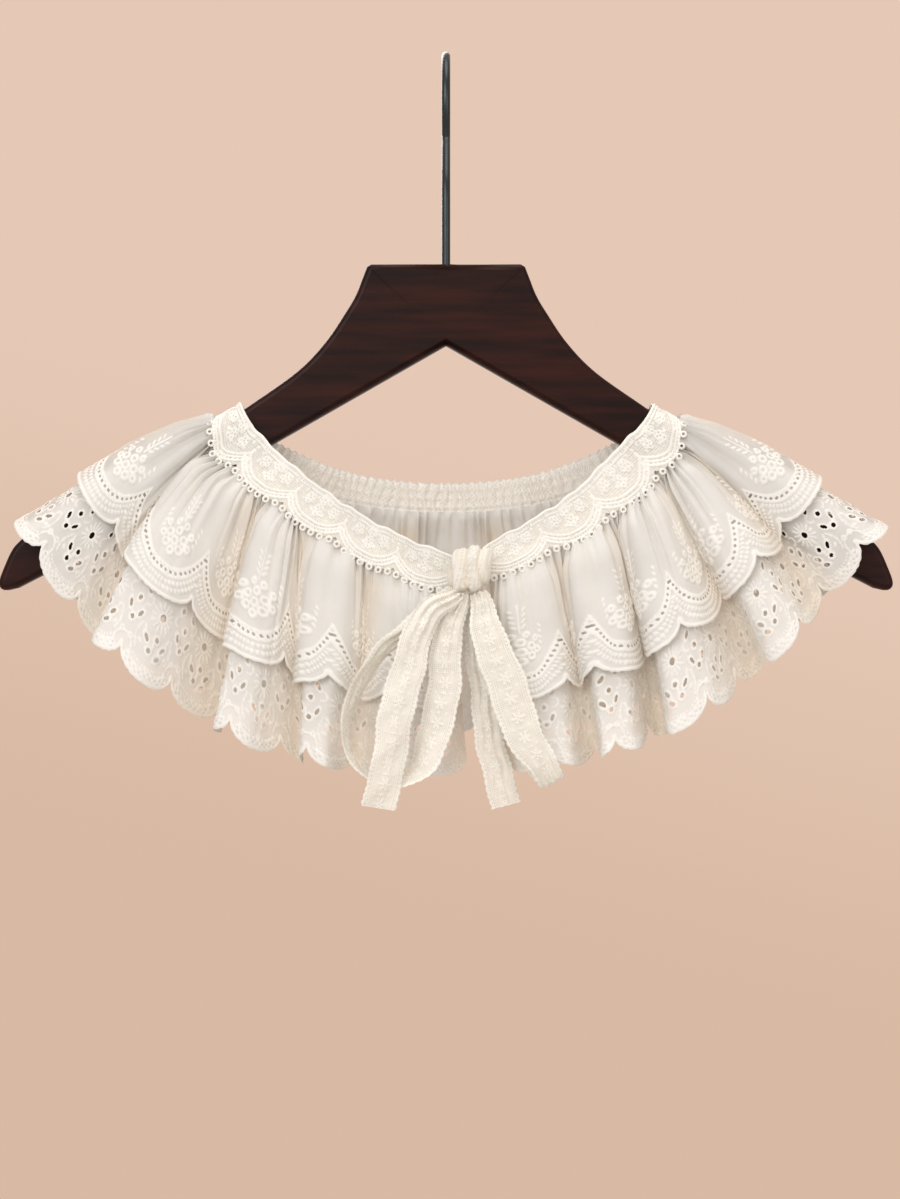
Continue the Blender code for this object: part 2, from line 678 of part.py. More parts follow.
# A straight shank that bends back, then curls over the top to the front, all in the plane of Y and Z
def hanger_hook(parent):
    middle_z = -HOOK_CURL_RADIUS
    radius = HOOK_CURL_RADIUS + HOOK_WIRE_RADIUS
    points = [(0.0, PLATEAU_Z - SHANK_DEPTH), (0.0, PLATEAU_Z)] + HOOK_BEND
    for degrees in range(HOOK_CURL_FROM, HOOK_CURL_TO, HOOK_CURL_STEP):
        angle = math.radians(degrees)
        points.append((radius * math.cos(angle), middle_z + radius * math.sin(angle)))
    curve = bpy.data.curves.new("hanger_hook", "CURVE")
    curve.dimensions = "3D"
    curve.bevel_depth = HOOK_WIRE_RADIUS * MM
    curve.bevel_resolution = 3
    curve.use_fill_caps = True
    spline = curve.splines.new("POLY")
    spline.points.add(len(points) - 1)
    for point, (y, z) in zip(spline.points, points):
        point.co = (0.0, y * MM, z * MM, 1.0)
    curve.materials.append(material(METAL))
    ob = bpy.data.objects.new("hanger_hook", curve)
    ob.parent = parent
    bpy.context.collection.objects.link(ob)


def main():
    clear_scene()
    parent = bpy.data.objects.new("collar_on_hanger", None)
    bpy.context.collection.objects.link(parent)
    hanger_arms(parent)
    hanger_hook(parent)
    for side, panel in (("front_left", FRONT_LEFT), ("front_right", FRONT_RIGHT), ("back", BACK)):
        back = panel is BACK
        lower_rings = LOWER_BACK_RINGS if back else LOWER_RINGS
        lower_gathers = GATHER_DEPTH if back else 0.0
        ruffle(
            "lower_ruffle_" + side,
            panel,
            lower_rings,
            lower_inside,
            LOWER_WALL,
            panel.lower_scallops,
            LOWER_SCALLOP_DEPTH,
            lower_gathers,
            parent,
        )
        ruffle(
            "upper_ruffle_" + side,
            panel,
            UPPER_RINGS,
            upper_inside,
            UPPER_WALL,
            panel.upper_scallops,
            UPPER_SCALLOP_DEPTH,
            GATHER_DEPTH,
            parent,
        )
    front_band("neckband_left", FRONT_LEFT, parent)
    front_band("neckband_right", FRONT_RIGHT, parent)
    back_band(parent)
    bow_knot(parent)
    ribbon("tie_tail_left", LEFT_TAIL, 14, parent)
    ribbon("tie_tail_right", RIGHT_TAIL, 12, parent)
    ribbon("bow_loop_left", LEFT_LOOP, 34, parent)
    ribbon("bow_loop_right", RIGHT_LOOP, 34, parent)


main()
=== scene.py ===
import math
from collections import namedtuple

import bmesh
import bpy
import numpy as np
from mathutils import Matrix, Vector


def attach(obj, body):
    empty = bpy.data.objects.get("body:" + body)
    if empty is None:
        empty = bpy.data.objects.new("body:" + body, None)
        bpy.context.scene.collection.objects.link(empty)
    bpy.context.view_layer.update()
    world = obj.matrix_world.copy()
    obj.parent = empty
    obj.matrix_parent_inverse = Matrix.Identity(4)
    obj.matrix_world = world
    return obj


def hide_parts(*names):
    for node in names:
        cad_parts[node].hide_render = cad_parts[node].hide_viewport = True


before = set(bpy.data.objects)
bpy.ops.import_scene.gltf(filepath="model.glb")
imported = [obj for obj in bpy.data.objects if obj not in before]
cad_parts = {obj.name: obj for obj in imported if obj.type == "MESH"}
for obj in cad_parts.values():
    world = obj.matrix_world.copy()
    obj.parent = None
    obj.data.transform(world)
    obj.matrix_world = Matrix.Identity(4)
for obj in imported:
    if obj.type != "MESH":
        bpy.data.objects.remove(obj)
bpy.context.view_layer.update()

# A gathered lace collar in two tiers on a wooden hanger.
# Tables are in millimetres and degrees, and mm turns millimetres into metres.
mm = 0.001

view = {"x": 1.8, "z": -241.6, "distance": 1600.0, "frameHeight": 537.6, "sensor": 36.0}
# The backdrop's two tones are painted light falloff, darker low down
backdrop = {
    "high": (0.785, 0.582, 0.465, 1),
    "low": (0.690, 0.490, 0.370, 1),
    "rise": {"From Min": -0.10, "From Max": 0.06},
    "lean": 0.25,
    "light": {"Color": (0.94, 0.84, 0.76, 1), "Strength": 0.60},
}
lights = {
    "key": {"place": (-0.75, -1.7, 0.55), "size": 1.5, "power": 17.0, "colour": (0.94, 0.965, 0.985)},
    "fill": {"place": (0.95, -1.5, 0.0), "size": 1.3, "power": 5.0, "colour": (1.0, 0.95, 0.90)},
    "top": {"place": (0.15, -0.2, 1.2), "size": 1.2, "power": 8.5, "colour": (1.0, 0.98, 0.95)},
    "rear": {"place": (-0.4, 1.3, 0.4), "size": 1.2, "power": 13.0, "colour": (1.0, 0.95, 0.90)},
}
floor = {
    "radius": 0.6,
    "z": -0.95,
    "segments": 96,
    "finish": {"Base Color": (0.72, 0.66, 0.6, 1), "Roughness": 0.9},
}


def addObject(name, data):
    ob = bpy.data.objects.new(name, data)
    bpy.context.collection.objects.link(ob)
    return ob


# A node's input takes a number, a colour or another node's output
def fill(tree, node, inputs):
    for name, value in inputs.items():
        if isinstance(value, bpy.types.NodeSocket):
            tree.links.new(value, node.inputs[name])
        else:
            node.inputs[name].default_value = value


def addNode(tree, kind, inputs=None, **settings):
    node = tree.nodes.new("ShaderNode" + kind)
    for name, value in settings.items():
        setattr(node, name, value)
    fill(tree, node, inputs or {})
    return node


def mathNode(tree, operation, *values, clamp=False):
    node = addNode(tree, "Math", dict(enumerate(values)), operation=operation, use_clamp=clamp)
    return node.outputs[0]


def mixNode(tree, factor, first, second, blend="MIX"):
    inputs = {"Factor": factor, "A": first, "B": second}
    return addNode(tree, "Mix", inputs, data_type="RGBA", blend_type=blend).outputs["Result"]


def newMaterial(name, finish):
    made = bpy.data.materials.new(name)
    made.use_nodes = True
    shader = made.node_tree.nodes["Principled BSDF"]
    fill(made.node_tree, shader, finish)
    return made, made.node_tree, shader


def makeCamera():
    bpy.context.scene.view_settings.view_transform = "Standard"
    data = bpy.data.cameras.new("camera")
    data.sensor_fit = "VERTICAL"
    data.sensor_height = view["sensor"]
    data.lens = view["sensor"] * view["distance"] / view["frameHeight"]
    camera = addObject("camera", data)
    camera.location = (view["x"] * mm, -view["distance"] * mm, view["z"] * mm)
    camera.rotation_euler = (math.pi / 2, 0, 0)
    bpy.context.scene.camera = camera


# The camera sees a backdrop with painted light falloff, lighter towards the top and darker towards the
# bottom, and the cloth is lit by one even tone
def makeWorld():
    world = bpy.data.worlds.new("studio")
    bpy.context.scene.world = world
    world.use_nodes = True
    tree = world.node_tree
    tree.nodes.clear()
    toward = addNode(tree, "TexCoord")
    parts = addNode(tree, "SeparateXYZ", {0: toward.outputs["Generated"]})
    lean = mathNode(tree, "MULTIPLY", parts.outputs["X"], backdrop["lean"])
    height = mathNode(tree, "ADD", lean, parts.outputs["Z"])
    limits = {"Value": height, **backdrop["rise"]}
    rise = addNode(tree, "MapRange", limits, interpolation_type="SMOOTHSTEP")
    tone = mixNode(tree, rise.outputs[0], backdrop["low"], backdrop["high"])
    seen = addNode(tree, "Background", {"Color": tone})
    light = addNode(tree, "Background", backdrop["light"])
    path = addNode(tree, "LightPath")
    sockets = (path.outputs["Is Camera Ray"], light.outputs[0], seen.outputs[0])
    mix = addNode(tree, "MixShader", dict(enumerate(sockets)))
    addNode(tree, "OutputWorld", {0: mix.outputs[0]})


def makeLights():
    middle = Vector((0, 0, view["z"] * mm))
    for name, row in lights.items():
        data = bpy.data.lights.new(name, "AREA")
        data.shape = "DISK"
        data.size = row["size"]
        data.energy = row["power"]
        data.color = row["colour"]
        lamp = addObject(name, data)
        lamp.location = row["place"]
        lamp.rotation_euler = (Vector(row["place"]) - middle).to_track_quat("Z", "Y").to_euler()


def makeFloor():
    bm = bmesh.new()
    bmesh.ops.create_circle(bm, cap_ends=True, segments=floor["segments"], radius=floor["radius"])
    bmesh.ops.translate(bm, verts=bm.verts, vec=(0, 0, floor["z"]))
    mesh = bpy.data.meshes.new("floor")
    bm.to_mesh(mesh)
    bm.free()
    mesh.materials.append(newMaterial("floorPale", floor["finish"])[0])
    ob = addObject("floor", mesh)


makeCamera()
makeWorld()
makeLights()
makeFloor()
print("stage: camera, light and floor")

# The collar's own sizes, the same as its solids
arm = {"slope": 0.578, "lineX": 89.9, "lineZ": -156.2}
arch = {
    "width": 7.6,
    "clearance": 1.5,
    "growth": 2.5,
    "atNeck": 1.5,
    "rise": 5.5,
    "reach": 0.4,
    "fall": 0.4,
}
drop = 100.0
leastDown = 0.001
foldShape = {
    "start": 0.12,
    "valley": 4.2,
    "lift": 0.42,
    "liftOver": 8.0,
    "liftBy": 0.14,
    "lean": 1.35,
    "flutter": 1.2,
    "flutterTurns": (1.9, 0.35),
    "swell": 0.08,
}

Section = namedtuple("Section", "topX topZ neckX neckZ hemX hemZ")
Ridge = namedtuple("Ridge", "topX neckX hemX")
Fold = namedtuple("Fold", "neckRow hemRow depth lean")
Panel = namedtuple("Panel", "xSide ySide sections ridge folds neckDepth hemDepth bothEnds")


def asRows(kind, rows):
    return [kind(*row) for row in rows]


frontLeftSections = asRows(Section, [
    (86.8, -162.6, 102.0, -169.5, 185.5, -220.5),
    (84.0, -166.5, 100.5, -177.5, 166.0, -248.0),
    (77.8, -172.8, 92.0, -184.5, 142.0, -271.0),
    (66.6, -183.0, 80.5, -194.0, 113.0, -292.0),
    (52.2, -194.0, 63.0, -206.5, 83.0, -308.0),
    (36.0, -204.5, 43.5, -218.5, 52.0, -316.0),
    (18.6, -213.6, 22.0, -229.5, 21.0, -320.0),
    (-3.8, -222.5, -3.0, -237.0, -9.6, -319.0),
])
frontRightSections = asRows(Section, [
    (87.4, -162.6, 102.6, -169.5, 189.0, -221.0),
    (83.6, -167.0, 100.5, -178.0, 170.0, -243.0),
    (77.5, -172.5, 92.5, -187.0, 148.0, -266.0),
    (67.0, -183.5, 81.0, -197.0, 121.0, -288.0),
    (56.0, -194.0, 66.0, -208.5, 92.0, -304.0),
    (42.0, -203.5, 50.0, -217.5, 66.0, -313.0),
    (28.0, -211.5, 33.0, -225.0, 44.0, -317.0),
    (16.0, -218.5, 19.0, -232.0, 26.0, -318.0),
])
backHalfSections = asRows(Section, [
    (86.8, -162.6, 100.5, -169.0, 187.0, -220.5),
    (82.0, -167.0, 93.0, -176.5, 164.0, -248.0),
    (73.0, -172.5, 82.0, -184.5, 136.0, -270.0),
    (58.0, -179.3, 65.0, -192.0, 104.0, -287.0),
    (40.0, -185.0, 44.0, -198.0, 70.0, -298.0),
    (20.0, -188.0, 22.0, -201.0, 35.0, -303.0),
    (0.0, -189.0, 0.0, -202.0, 0.0, -304.0),
])
frontLeftFolds = asRows(Fold, [
    (0.0, 0.0, 9.0, 0.05),
    (1.3, 2.4, 24.0, -0.35),
    (4.0, 4.4, 18.0, -0.35),
    (5.0, 5.6, 15.0, -0.20),
    (6.5, 6.4, 11.0, 0.00),
    (8.0, 8.0, 0.0, 0.0),
])
frontRightFolds = asRows(Fold, [
    (0.0, 0.0, 9.0, 0.10),
    (1.3, 2.1, 18.0, 0.25),
    (2.9, 3.4, 23.0, 0.35),
    (4.5, 4.9, 19.5, 0.22),
    (6.0, 6.0, 13.0, 0.00),
    (8.0, 8.0, 0.0, 0.0),
])
backFolds = asRows(Fold, [
    (0.0, 0.0, 7.0, 0.10),
    (1.5, 2.1, 16.0, 0.20),
    (3.2, 3.7, 18.0, 0.15),
    (4.8, 5.1, 15.0, 0.05),
    (6.2, 6.4, 17.0, -0.10),
    (7.9, 7.8, 15.0, 0.10),
    (9.4, 9.2, 18.0, -0.15),
    (11.0, 10.5, 16.0, -0.20),
    (12.6, 12.0, 7.0, -0.10),
    (14.0, 14.0, 0.0, 0.0),
])
backSections = list(backHalfSections)
for row in backHalfSections[-2::-1]:
    backSections.append(Section(-row.topX, row.topZ, -row.neckX, row.neckZ, -row.hemX, row.hemZ))
leftRidge = Ridge(90.5, 101.6, 189.5)
rightRidge = Ridge(91.5, 102.4, 194.0)
backRidge = Ridge(90.5, 101.6, 190.0)
panels = {
    "FrontLeft": Panel(-1, -1, frontLeftSections, leftRidge, frontLeftFolds, 22.0, 26.0, False),
    "FrontRight": Panel(1, -1, frontRightSections, rightRidge, frontRightFolds, 22.0, 26.0, False),
    "Back": Panel(-1, 1, backSections, backRidge, backFolds, 20.0, 22.0, True),
}


def smooth(share):
    share = np.clip(share, 0.0, 1.0)
    return share * share * (3.0 - 2.0 * share)


def unit(vectors):
    return vectors / np.maximum(np.linalg.norm(vectors, axis=-1, keepdims=True), 1e-9)


def through(values, at):
    # a smooth curve through the values at 0, 1, 2 and so on
    values = np.asarray(values, float)
    at = np.clip(np.asarray(at, float), 0.0, len(values) - 1.0)
    first = np.minimum(np.floor(at).astype(int), len(values) - 2)
    share = at - first
    slopes = np.gradient(values)
    square, cube = share**2, share**3
    start = values[first] * (2 * cube - 3 * square + 1) + slopes[first] * (cube - 2 * square + share)
    return start + values[first + 1] * (3 * square - 2 * cube) + slopes[first + 1] * (cube - square)


def hump(down):
    low = 1.0 - arch["fall"] * np.clip(down, 0.0, 1.0)
    return arch["atNeck"] + arch["rise"] * smooth(down / arch["reach"]) * low


def betweenEdges(panel, axis, row, down):
    names = ("top", "neck") if np.all(down <= 0) else ("neck", "hem")
    share = down + 1.0 if names[0] == "top" else down
    upper = through([getattr(s, names[0] + axis) for s in panel.sections], row)
    lower = through([getattr(s, names[1] + axis) for s in panel.sections], row)
    return upper + (lower - upper) * share


# The collar before it is folded. Row 0 is the ridge over the arm, and down is -1 at the band's top edge,
# 0 at the neck seam and 1 at the lower hem.
def baseSurface(panel, row, down):
    count = len(panel.sections)
    lastRow = count + 1 if panel.bothEnds else count
    mirrored = (row > lastRow / 2) if panel.bothEnds else np.zeros_like(row, bool)
    near = np.where(mirrored, lastRow - row, row)
    index = np.clip(row - 1.0, 0.0, count - 1.0)
    x = betweenEdges(panel, "X", index, down)
    z = betweenEdges(panel, "Z", index, down)
    progress = index / (count - 1.0)
    ease = smooth(2.0 * np.minimum(progress, 1.0 - progress)) if panel.bothEnds else smooth(progress)
    below = np.clip(down, 0.0, 1.0)
    width = arch["width"] + arch["growth"] * below
    middle = panel.neckDepth + (panel.hemDepth - panel.neckDepth) * below
    y = width + (middle - width) * ease
    armAngle = math.atan(arm["slope"])
    along = (math.cos(armAngle), -math.sin(armAngle))
    across = (-math.sin(armAngle), -math.cos(armAngle))
    turn = np.clip(near, 0.0, 1.0) * np.pi / 2
    ridge = panel.ridge
    if np.all(down <= 0):
        ridgeX = ridge.topX + (ridge.neckX - ridge.topX) * (down + 1.0)
    else:
        ridgeX = ridge.neckX + (ridge.hemX - ridge.neckX) * down
    ridgeZ = arm["lineZ"] - (ridgeX - arm["lineX"]) * arm["slope"]
    side = np.where(mirrored, -1.0, 1.0)
    reach = (x * side - ridgeX) * along[0] + (z - ridgeZ) * along[1]
    rise = np.where(down > 0, hump(down), 0.0)
    depthBelow = (x * side - ridgeX) * across[0] + (z - ridgeZ) * across[1]
    sunk = depthBelow - (depthBelow + arch["clearance"] + rise) * np.cos(turn)
    shifted = reach * (1.0 - np.cos(turn))
    over = near < 1.0
    x = np.where(over, (ridgeX + along[0] * shifted + across[0] * sunk) * side, x)
    z = np.where(over, ridgeZ + along[1] * shifted + across[1] * sunk, z)
    y = np.where(over, width * np.sin(turn), y)
    return np.stack([x * panel.xSide, y * panel.ySide, z], -1)


def foldIndex(panel, place):
    return np.clip(np.floor(place).astype(int), 0, len(panel.folds) - 2)


def rowOfFold(panel, place, down):
    share = np.clip(down, 0.0, 1.0)[..., None]
    neck = np.array([f.neckRow for f in panel.folds])
    hem = np.array([f.hemRow for f in panel.folds])
    rows = neck + (hem - neck) * share
    first = foldIndex(panel, place)
    start = np.take_along_axis(rows, first[..., None], -1)[..., 0]
    end = np.take_along_axis(rows, first[..., None] + 1, -1)[..., 0]
    return start + (end - start) * (place - first)


def baseByFold(panel, place, down):
    return baseSurface(panel, rowOfFold(panel, place, down), down)


def directions(surface, panel, place, down, step=0.02):
    ahead = surface(panel, place + step, down)
    behind = surface(panel, np.maximum(place - step, 0.0), down)
    sideways = unit(ahead - behind)
    low, high = (-1.0, 0.0) if np.all(down <= 0) else (leastDown, 1.0)
    below = surface(panel, place, np.clip(down + step, low, high))
    above = surface(panel, place, np.clip(down - step, low, high))
    out = unit(np.cross(below - above, sideways)) * (panel.xSide * panel.ySide)
    return sideways, out


def foldedSurface(panel, place, down):
    shape = foldShape
    base = baseByFold(panel, place, down)
    sideways, out = directions(baseByFold, panel, place, down)
    first = foldIndex(panel, place)
    depth = np.array([f.depth for f in panel.folds])[first]
    lean = np.array([f.lean for f in panel.folds])[first]
    angle = 2 * np.pi * (place - first)
    low = np.clip(down, 0.0, 1.0)
    growth = (1.0 + shape["start"]) * low**2 / (low + shape["start"])
    lifted = shape["lift"] * np.clip(depth - shape["liftOver"], 0, None) * smooth(low / shape["liftBy"])
    height = (depth * growth + lifted) * (1.0 - np.abs(np.cos(angle / 2)) ** shape["valley"])
    turns, phase = shape["flutterTurns"]
    flutter = shape["flutter"] * growth * np.sin(2 * np.pi * (turns * place + phase))
    flutter *= np.sin(angle / 2) ** 2
    swell = shape["swell"] * depth * growth * np.sin(2 * angle)
    shift = shape["lean"] * lean * height + swell
    return base + out * (height + flutter)[..., None] + sideways * shift[..., None]


# A sum of waves along a length, each with its height, its length for one radian and its phase
def waves(at, rows):
    return sum(height * np.sin(at / length + phase) for height, length, phase in rows)


def evenSteps(low, high, cell, length=None):
    return np.linspace(low, high, round((length or high - low) / cell) + 1)


def lengthAlong(line):
    return np.concatenate([[0.0], np.cumsum(np.linalg.norm(np.diff(line, axis=0), axis=1))])


def clothLine(panel, down):
    fine = np.linspace(0.0, len(panel.folds) - 1.0, 1200)
    return fine, lengthAlong(foldedSurface(panel, fine, np.full_like(fine, down)))


# The stitches, by their sizes and how far they stand up
Cord = namedtuple("Cord", "at half rise")
Satin = namedtuple("Satin", "longHalf wideHalf rise")
Loop = namedtuple("Loop", "radius half rise")
farOff = 9.0
threadCover = 1.6


def dome(off, half=1.0):
    return np.sqrt(np.clip(1.0 - (off / half) ** 2, 0, 1))


# Embroidery is drawn on the flat cloth: across runs along the hem, up runs from it, both in millimetres.
# A drawing keeps how far thread stands up, how much thread covers the cloth and how far it is pierced.
class Drawing:
    def __init__(self, across, up):
        self.across, self.up = across, up
        self.height = np.zeros_like(across)
        self.thread = np.zeros_like(across)
        self.pierced = np.zeros_like(across)

    def put(self, profile, rise, near=...):
        self.height[near] = np.maximum(self.height[near], profile * rise)
        self.thread[near] = np.maximum(self.thread[near], np.clip(profile * threadCover, 0, 1))

    def satin(self, x, y, turn, stitch):
        c, s = math.cos(math.radians(turn)), math.sin(math.radians(turn))
        dx, dy = self.across - x, self.up - y
        q = ((dx * c + dy * s) / stitch.wideHalf) ** 2 + ((dy * c - dx * s) / stitch.longHalf) ** 2
        self.put(np.sqrt(np.clip(1.0 - q, 0, 1)), stitch.rise)

    def ring(self, x, y, loop):
        self.put(dome(np.hypot(self.across - x, self.up - y) - loop.radius, loop.half), loop.rise)

    def stitch(self, rows):
        for x, y, turn, kind in rows:
            if isinstance(kind, Loop):
                self.ring(x, y, kind)
            else:
                self.satin(x, y, turn, kind)

    def cord(self, distance, cord):
        self.put(dome(distance - cord.at, cord.half), cord.rise)

    def pinhole(self, x, y, radius):
        off = np.hypot(self.across - x, self.up - y)
        self.pierced = np.maximum(self.pierced, smooth((radius * 1.4 - off) / (0.8 * radius)))
        self.ring(x, y, Loop(radius * 2.0, radius * 0.9, 0.22))


# A distance to a thread that is there only between two limits
def between(value, low, high, distance):
    return np.where((value > low) & (value < high), distance, farOff)


# Stitches in a ring about a place
def petals(x, y, count, start, reach, kind, longer=0.0):
    rows = []
    for number in range(count):
        turn = 360.0 * number / count + start
        far = reach + longer * (number % 2)
        dx, dy = far * math.sin(math.radians(turn)), far * math.cos(math.radians(turn))
        rows.append((x + dx, y + dy, -turn, kind))
    return rows


netMesh = {"pitch": 1.9, "sharp": 1.8}


# Open net between the threads, with holes on a slanting grid
def netHoles(drawing, across, up, start, share):
    pitch = netMesh["pitch"]
    net = np.sin(2 * np.pi * (across + up) / pitch) * np.sin(2 * np.pi * (across - up) / pitch)
    return share * np.clip(net * netMesh["sharp"] - start, 0, 1) * (1.0 - drawing.thread)


Eyelet = namedtuple("Eyelet", "x y longHalf wideHalf turn")

lowerTier = {
    "pitches": {"FrontLeft": 12, "FrontRight": 12, "Back": 21},
    "share": 1.0,
    "scallopDepth": 8.5,
    "cutAway": 49.0,
    "offset": 0.8,
    "puff": 0.0,
    "gather": 2.3,
    "cell": {"FrontLeft": 0.6, "FrontRight": 0.6, "Back": 0.9},
    "fineTo": 46.0,
    "coarse": 2.2,
}
upperTier = {
    "pitches": {"FrontLeft": 8, "FrontRight": 8, "Back": 15},
    "share": 0.66,
    "scallopDepth": 7.5,
    "cutAway": 50.0,
    "offset": 2.4,
    "puff": 2.2,
    "gather": 1.7,
    "cell": {"FrontLeft": 0.52, "FrontRight": 0.52, "Back": 0.9},
    "fineTo": 50.0,
    "coarse": 1.2,
}
gathers = {
    "pitch": 9.6,
    "wander": ((0.3, 17.0, 0.0), (0.2, 6.1, 1.0)),
    "start": 0.03,
    "reach": 0.2,
    "reachWander": ((0.5, 8.7, 0.6), (0.35, 3.9, 0.0)),
    "fall": 1.15,
    "uneven": ((0.3, 9.3, 1.0),),
    "puffBy": 0.18,
}
softCreases = {
    "rise": 0.9,
    "pitch": 23.0,
    "wander": ((0.35, 31.0, 0.0), (0.12, 7.0, 0.0)),
    "by": 0.15,
    "to": 0.6,
}
hemEdge = {"scallopFade": 16.0, "wavePitch": 3.2, "wave": 0.45, "waveFade": 1.2, "topRow": 0.1}
crumple = {"rise": 0.22, "run": 3.1, "slant": 0.16, "up": 7.3, "drift": 23.0, "by": 0.3}
# Where the cloth lies on the arm, the wood shows through a little
overWood = {"height": 30.0, "heightFade": 8.0, "reach": 17.0, "reachFade": 5.0, "sheer": 0.32}
# Painted shade: deep fold valleys and gather grooves get a warmer, darker tint multiplied into the
# cloth's colour
paintedValleyShade = {"sharp": 5, "fullDepth": 12.0, "by": 0.12, "groove": 0.45, "tint": (0.94, 0.86, 0.76, 1)}
rim = {"half": 0.62, "rise": 0.34, "near": 2.5, "set": 0.8}

# Pierced holes of the lower border, by millimetres from the middle of their scallop and up from the hem
borderHoles = asRows(Eyelet, [
    (0.0, 28.0, 1.6, 1.6, 0),
    (0.6, 18.6, 1.15, 1.15, 0),
    (-4.3, 17.2, 1.75, 1.0, 42),
    (4.6, 16.0, 1.75, 1.0, -40),
    (-1.8, 12.9, 1.1, 1.1, 0),
    (3.0, 11.6, 1.6, 0.95, -55),
    (-13.5, 20.5, 1.1, 1.1, 0),
    (-10.2, 23.6, 1.7, 0.95, -30),
    (10.4, 24.4, 1.7, 0.95, 25),
    (-13.4, 29.0, 1.15, 1.15, 0),
    (-10.6, 34.6, 1.8, 1.0, 40),
    (9.2, 35.8, 1.15, 1.15, 0),
    (-1.0, 39.0, 1.15, 1.15, 0),
])
borderPitch = 27.0
sway = {"size": 0.48, "turn": 2.4}
leaf, dot = Satin(1.5, 0.7, 0.34), Loop(1.0, 0.5, 0.26)
lowerMotifs = petals(0.0, 28.0, 14, 9.0, 4.4, Satin(2.3, 0.62, 0.42), 0.5)
lowerMotifs += [(-7.4, 14.6, 60, leaf), (7.8, 13.2, -55, leaf), (-0.4, 15.6, 20, leaf)]
lowerMotifs += [(-6.6, 20.8, 25, leaf), (6.9, 20.4, -25, leaf), (-12.6, 13.4, 0, dot)]
lowerMotifs += [(12.6, 13.4, 0, dot), (-6.0, 38.4, 0, dot), (6.0, 40.4, 0, dot)]
lowerStitches = {
    "cords": (Cord(0.6, 0.85, 0.55), Cord(5.0, 0.5, 0.36)),
    "hemLoops": (2.8, 3.1, Loop(1.05, 0.6, 0.6)),
    "hemSatin": (6.1, 1.7, Satin(0.7, 0.5, 0.24)),
    "stem": {"side": 8.6, "sway": 1.6, "from": 11.0, "to": 22.0, "wave": 3.4},
    "stemCord": Cord(0.0, 0.5, 0.26),
    "curl": {"side": 9.6, "up": 31.0, "within": 10.4},
    "curlCord": Cord(2.1, 0.48, 0.24),
}
clusterRings = [
    (0.0, 22.5, 1.6),
    (-3.9, 20.2, 1.5),
    (3.9, 20.2, 1.5),
    (0.2, 18.0, 1.4),
    (-4.3, 24.8, 1.5),
    (4.3, 24.8, 1.5),
    (0.0, 27.2, 1.5),
    (-7.2, 22.6, 1.2),
    (7.2, 22.6, 1.2),
    (-6.9, 28.0, 1.1),
    (6.9, 28.0, 1.1),
    (-2.6, 30.6, 1.15),
    (2.8, 30.6, 1.15),
]
upperMotifs = [(x, y, 0, Loop(radius, 0.72, 0.55)) for x, y, radius in clusterRings]
for side in (-1, 1):
    for step in range(4):
        x, y = side * (1.7 + 0.35 * step), 35.0 + 2.7 * step
        upperMotifs.append((x, y, side * -48, Satin(1.6, 0.62, 0.32)))
        x, y = side * (9.4 + 0.2 * step), 25.5 + 2.6 * step
        upperMotifs.append((x, y, side * 35, Satin(1.3, 0.6, 0.3)))
rowPower = 2.6
upperStitches = {
    "hemCord": Cord(0.6, 0.8, 0.46),
    "satinRows": ((8.5, 13.5), (12.0, 16.5)),
    "rowCord": Cord(0.0, 0.5, 0.34),
    "holeRow": (10.2, 15.0, 2.35, None),
    "holeRadius": 0.5,
    "beadRows": ((3.3, 10.0), (6.0, 12.0)),
    "bead": (1.75, Satin(1.1, 0.72, 0.5)),
    "stem": (32.0, 46.0),
    "stemCord": Cord(0.0, 0.42, 0.24),
}


def scallop(across, pitch, depth):
    return depth * (1.0 - dome(2.0 * ((across / pitch) % 1.0) - 1.0))


# How far a place on the cloth is from its scalloped hem
def fromHem(x, up, pitch, depth):
    half = pitch / 2
    q = np.hypot(x / half, (up - depth) / depth)
    slope = np.hypot(x / half**2, (up - depth) / depth**2)
    inScallop = (1.0 - q) * q / np.maximum(slope, 1e-6)
    return np.where(up < depth, inScallop, np.hypot(half - np.abs(x), up - depth))


# Rows of one kind of stitch, evenly spaced along a line
def evenSpots(x, y, spacing, kind):
    length = lengthAlong(np.stack([x, y], -1))
    count = max(2, round(length[-1] / spacing))
    at = (np.arange(count) + 0.5) * length[-1] / count
    turn = np.degrees(np.arctan2(np.gradient(y), np.gradient(x)))
    return [(*spot, kind) for spot in zip(*(np.interp(at, length, values) for values in (x, y, turn)))]


def hemSpots(pitch, depth, inset, spacing, kind):
    turn = np.linspace(-1.25, 1.25, 300)
    x, y = pitch / 2 * np.sin(turn), depth - depth * np.cos(turn)
    nx, ny = -x / (pitch / 2) ** 2, (depth - y) / depth**2
    size = np.hypot(nx, ny)
    return evenSpots(x + inset * nx / size, y + inset * ny / size, spacing, kind)


# A U shaped row that meets its neighbours in a peak between two scallops
def rowDistance(x, up, pitch, base, rise, power):
    share = np.abs(2.0 * x / pitch)
    slope = rise * power * 2.0 / pitch * share ** (power - 1.0)
    return (up - base - rise * share**power) / np.sqrt(1.0 + slope**2)


def rowSpots(pitch, base, rise, spacing, kind):
    x = np.linspace(-pitch / 2, pitch / 2, 400)
    return evenSpots(x, base + rise * np.abs(2.0 * x / pitch) ** rowPower, spacing, kind)


# The border's motifs stand a little higher or lower from scallop to scallop
def borderSway(number):
    return sway["size"] * np.sin(sway["turn"] * number)


def lowerHoles(pitch, pitches):
    holes = []
    for number in range(pitches):
        middle = (number + 0.5) * pitch
        for e in borderHoles:
            x, y = middle + e.x * pitch / borderPitch, e.y + borderSway(number)
            holes.append(Eyelet(x, y, e.longHalf, e.wideHalf, e.turn))
    return holes


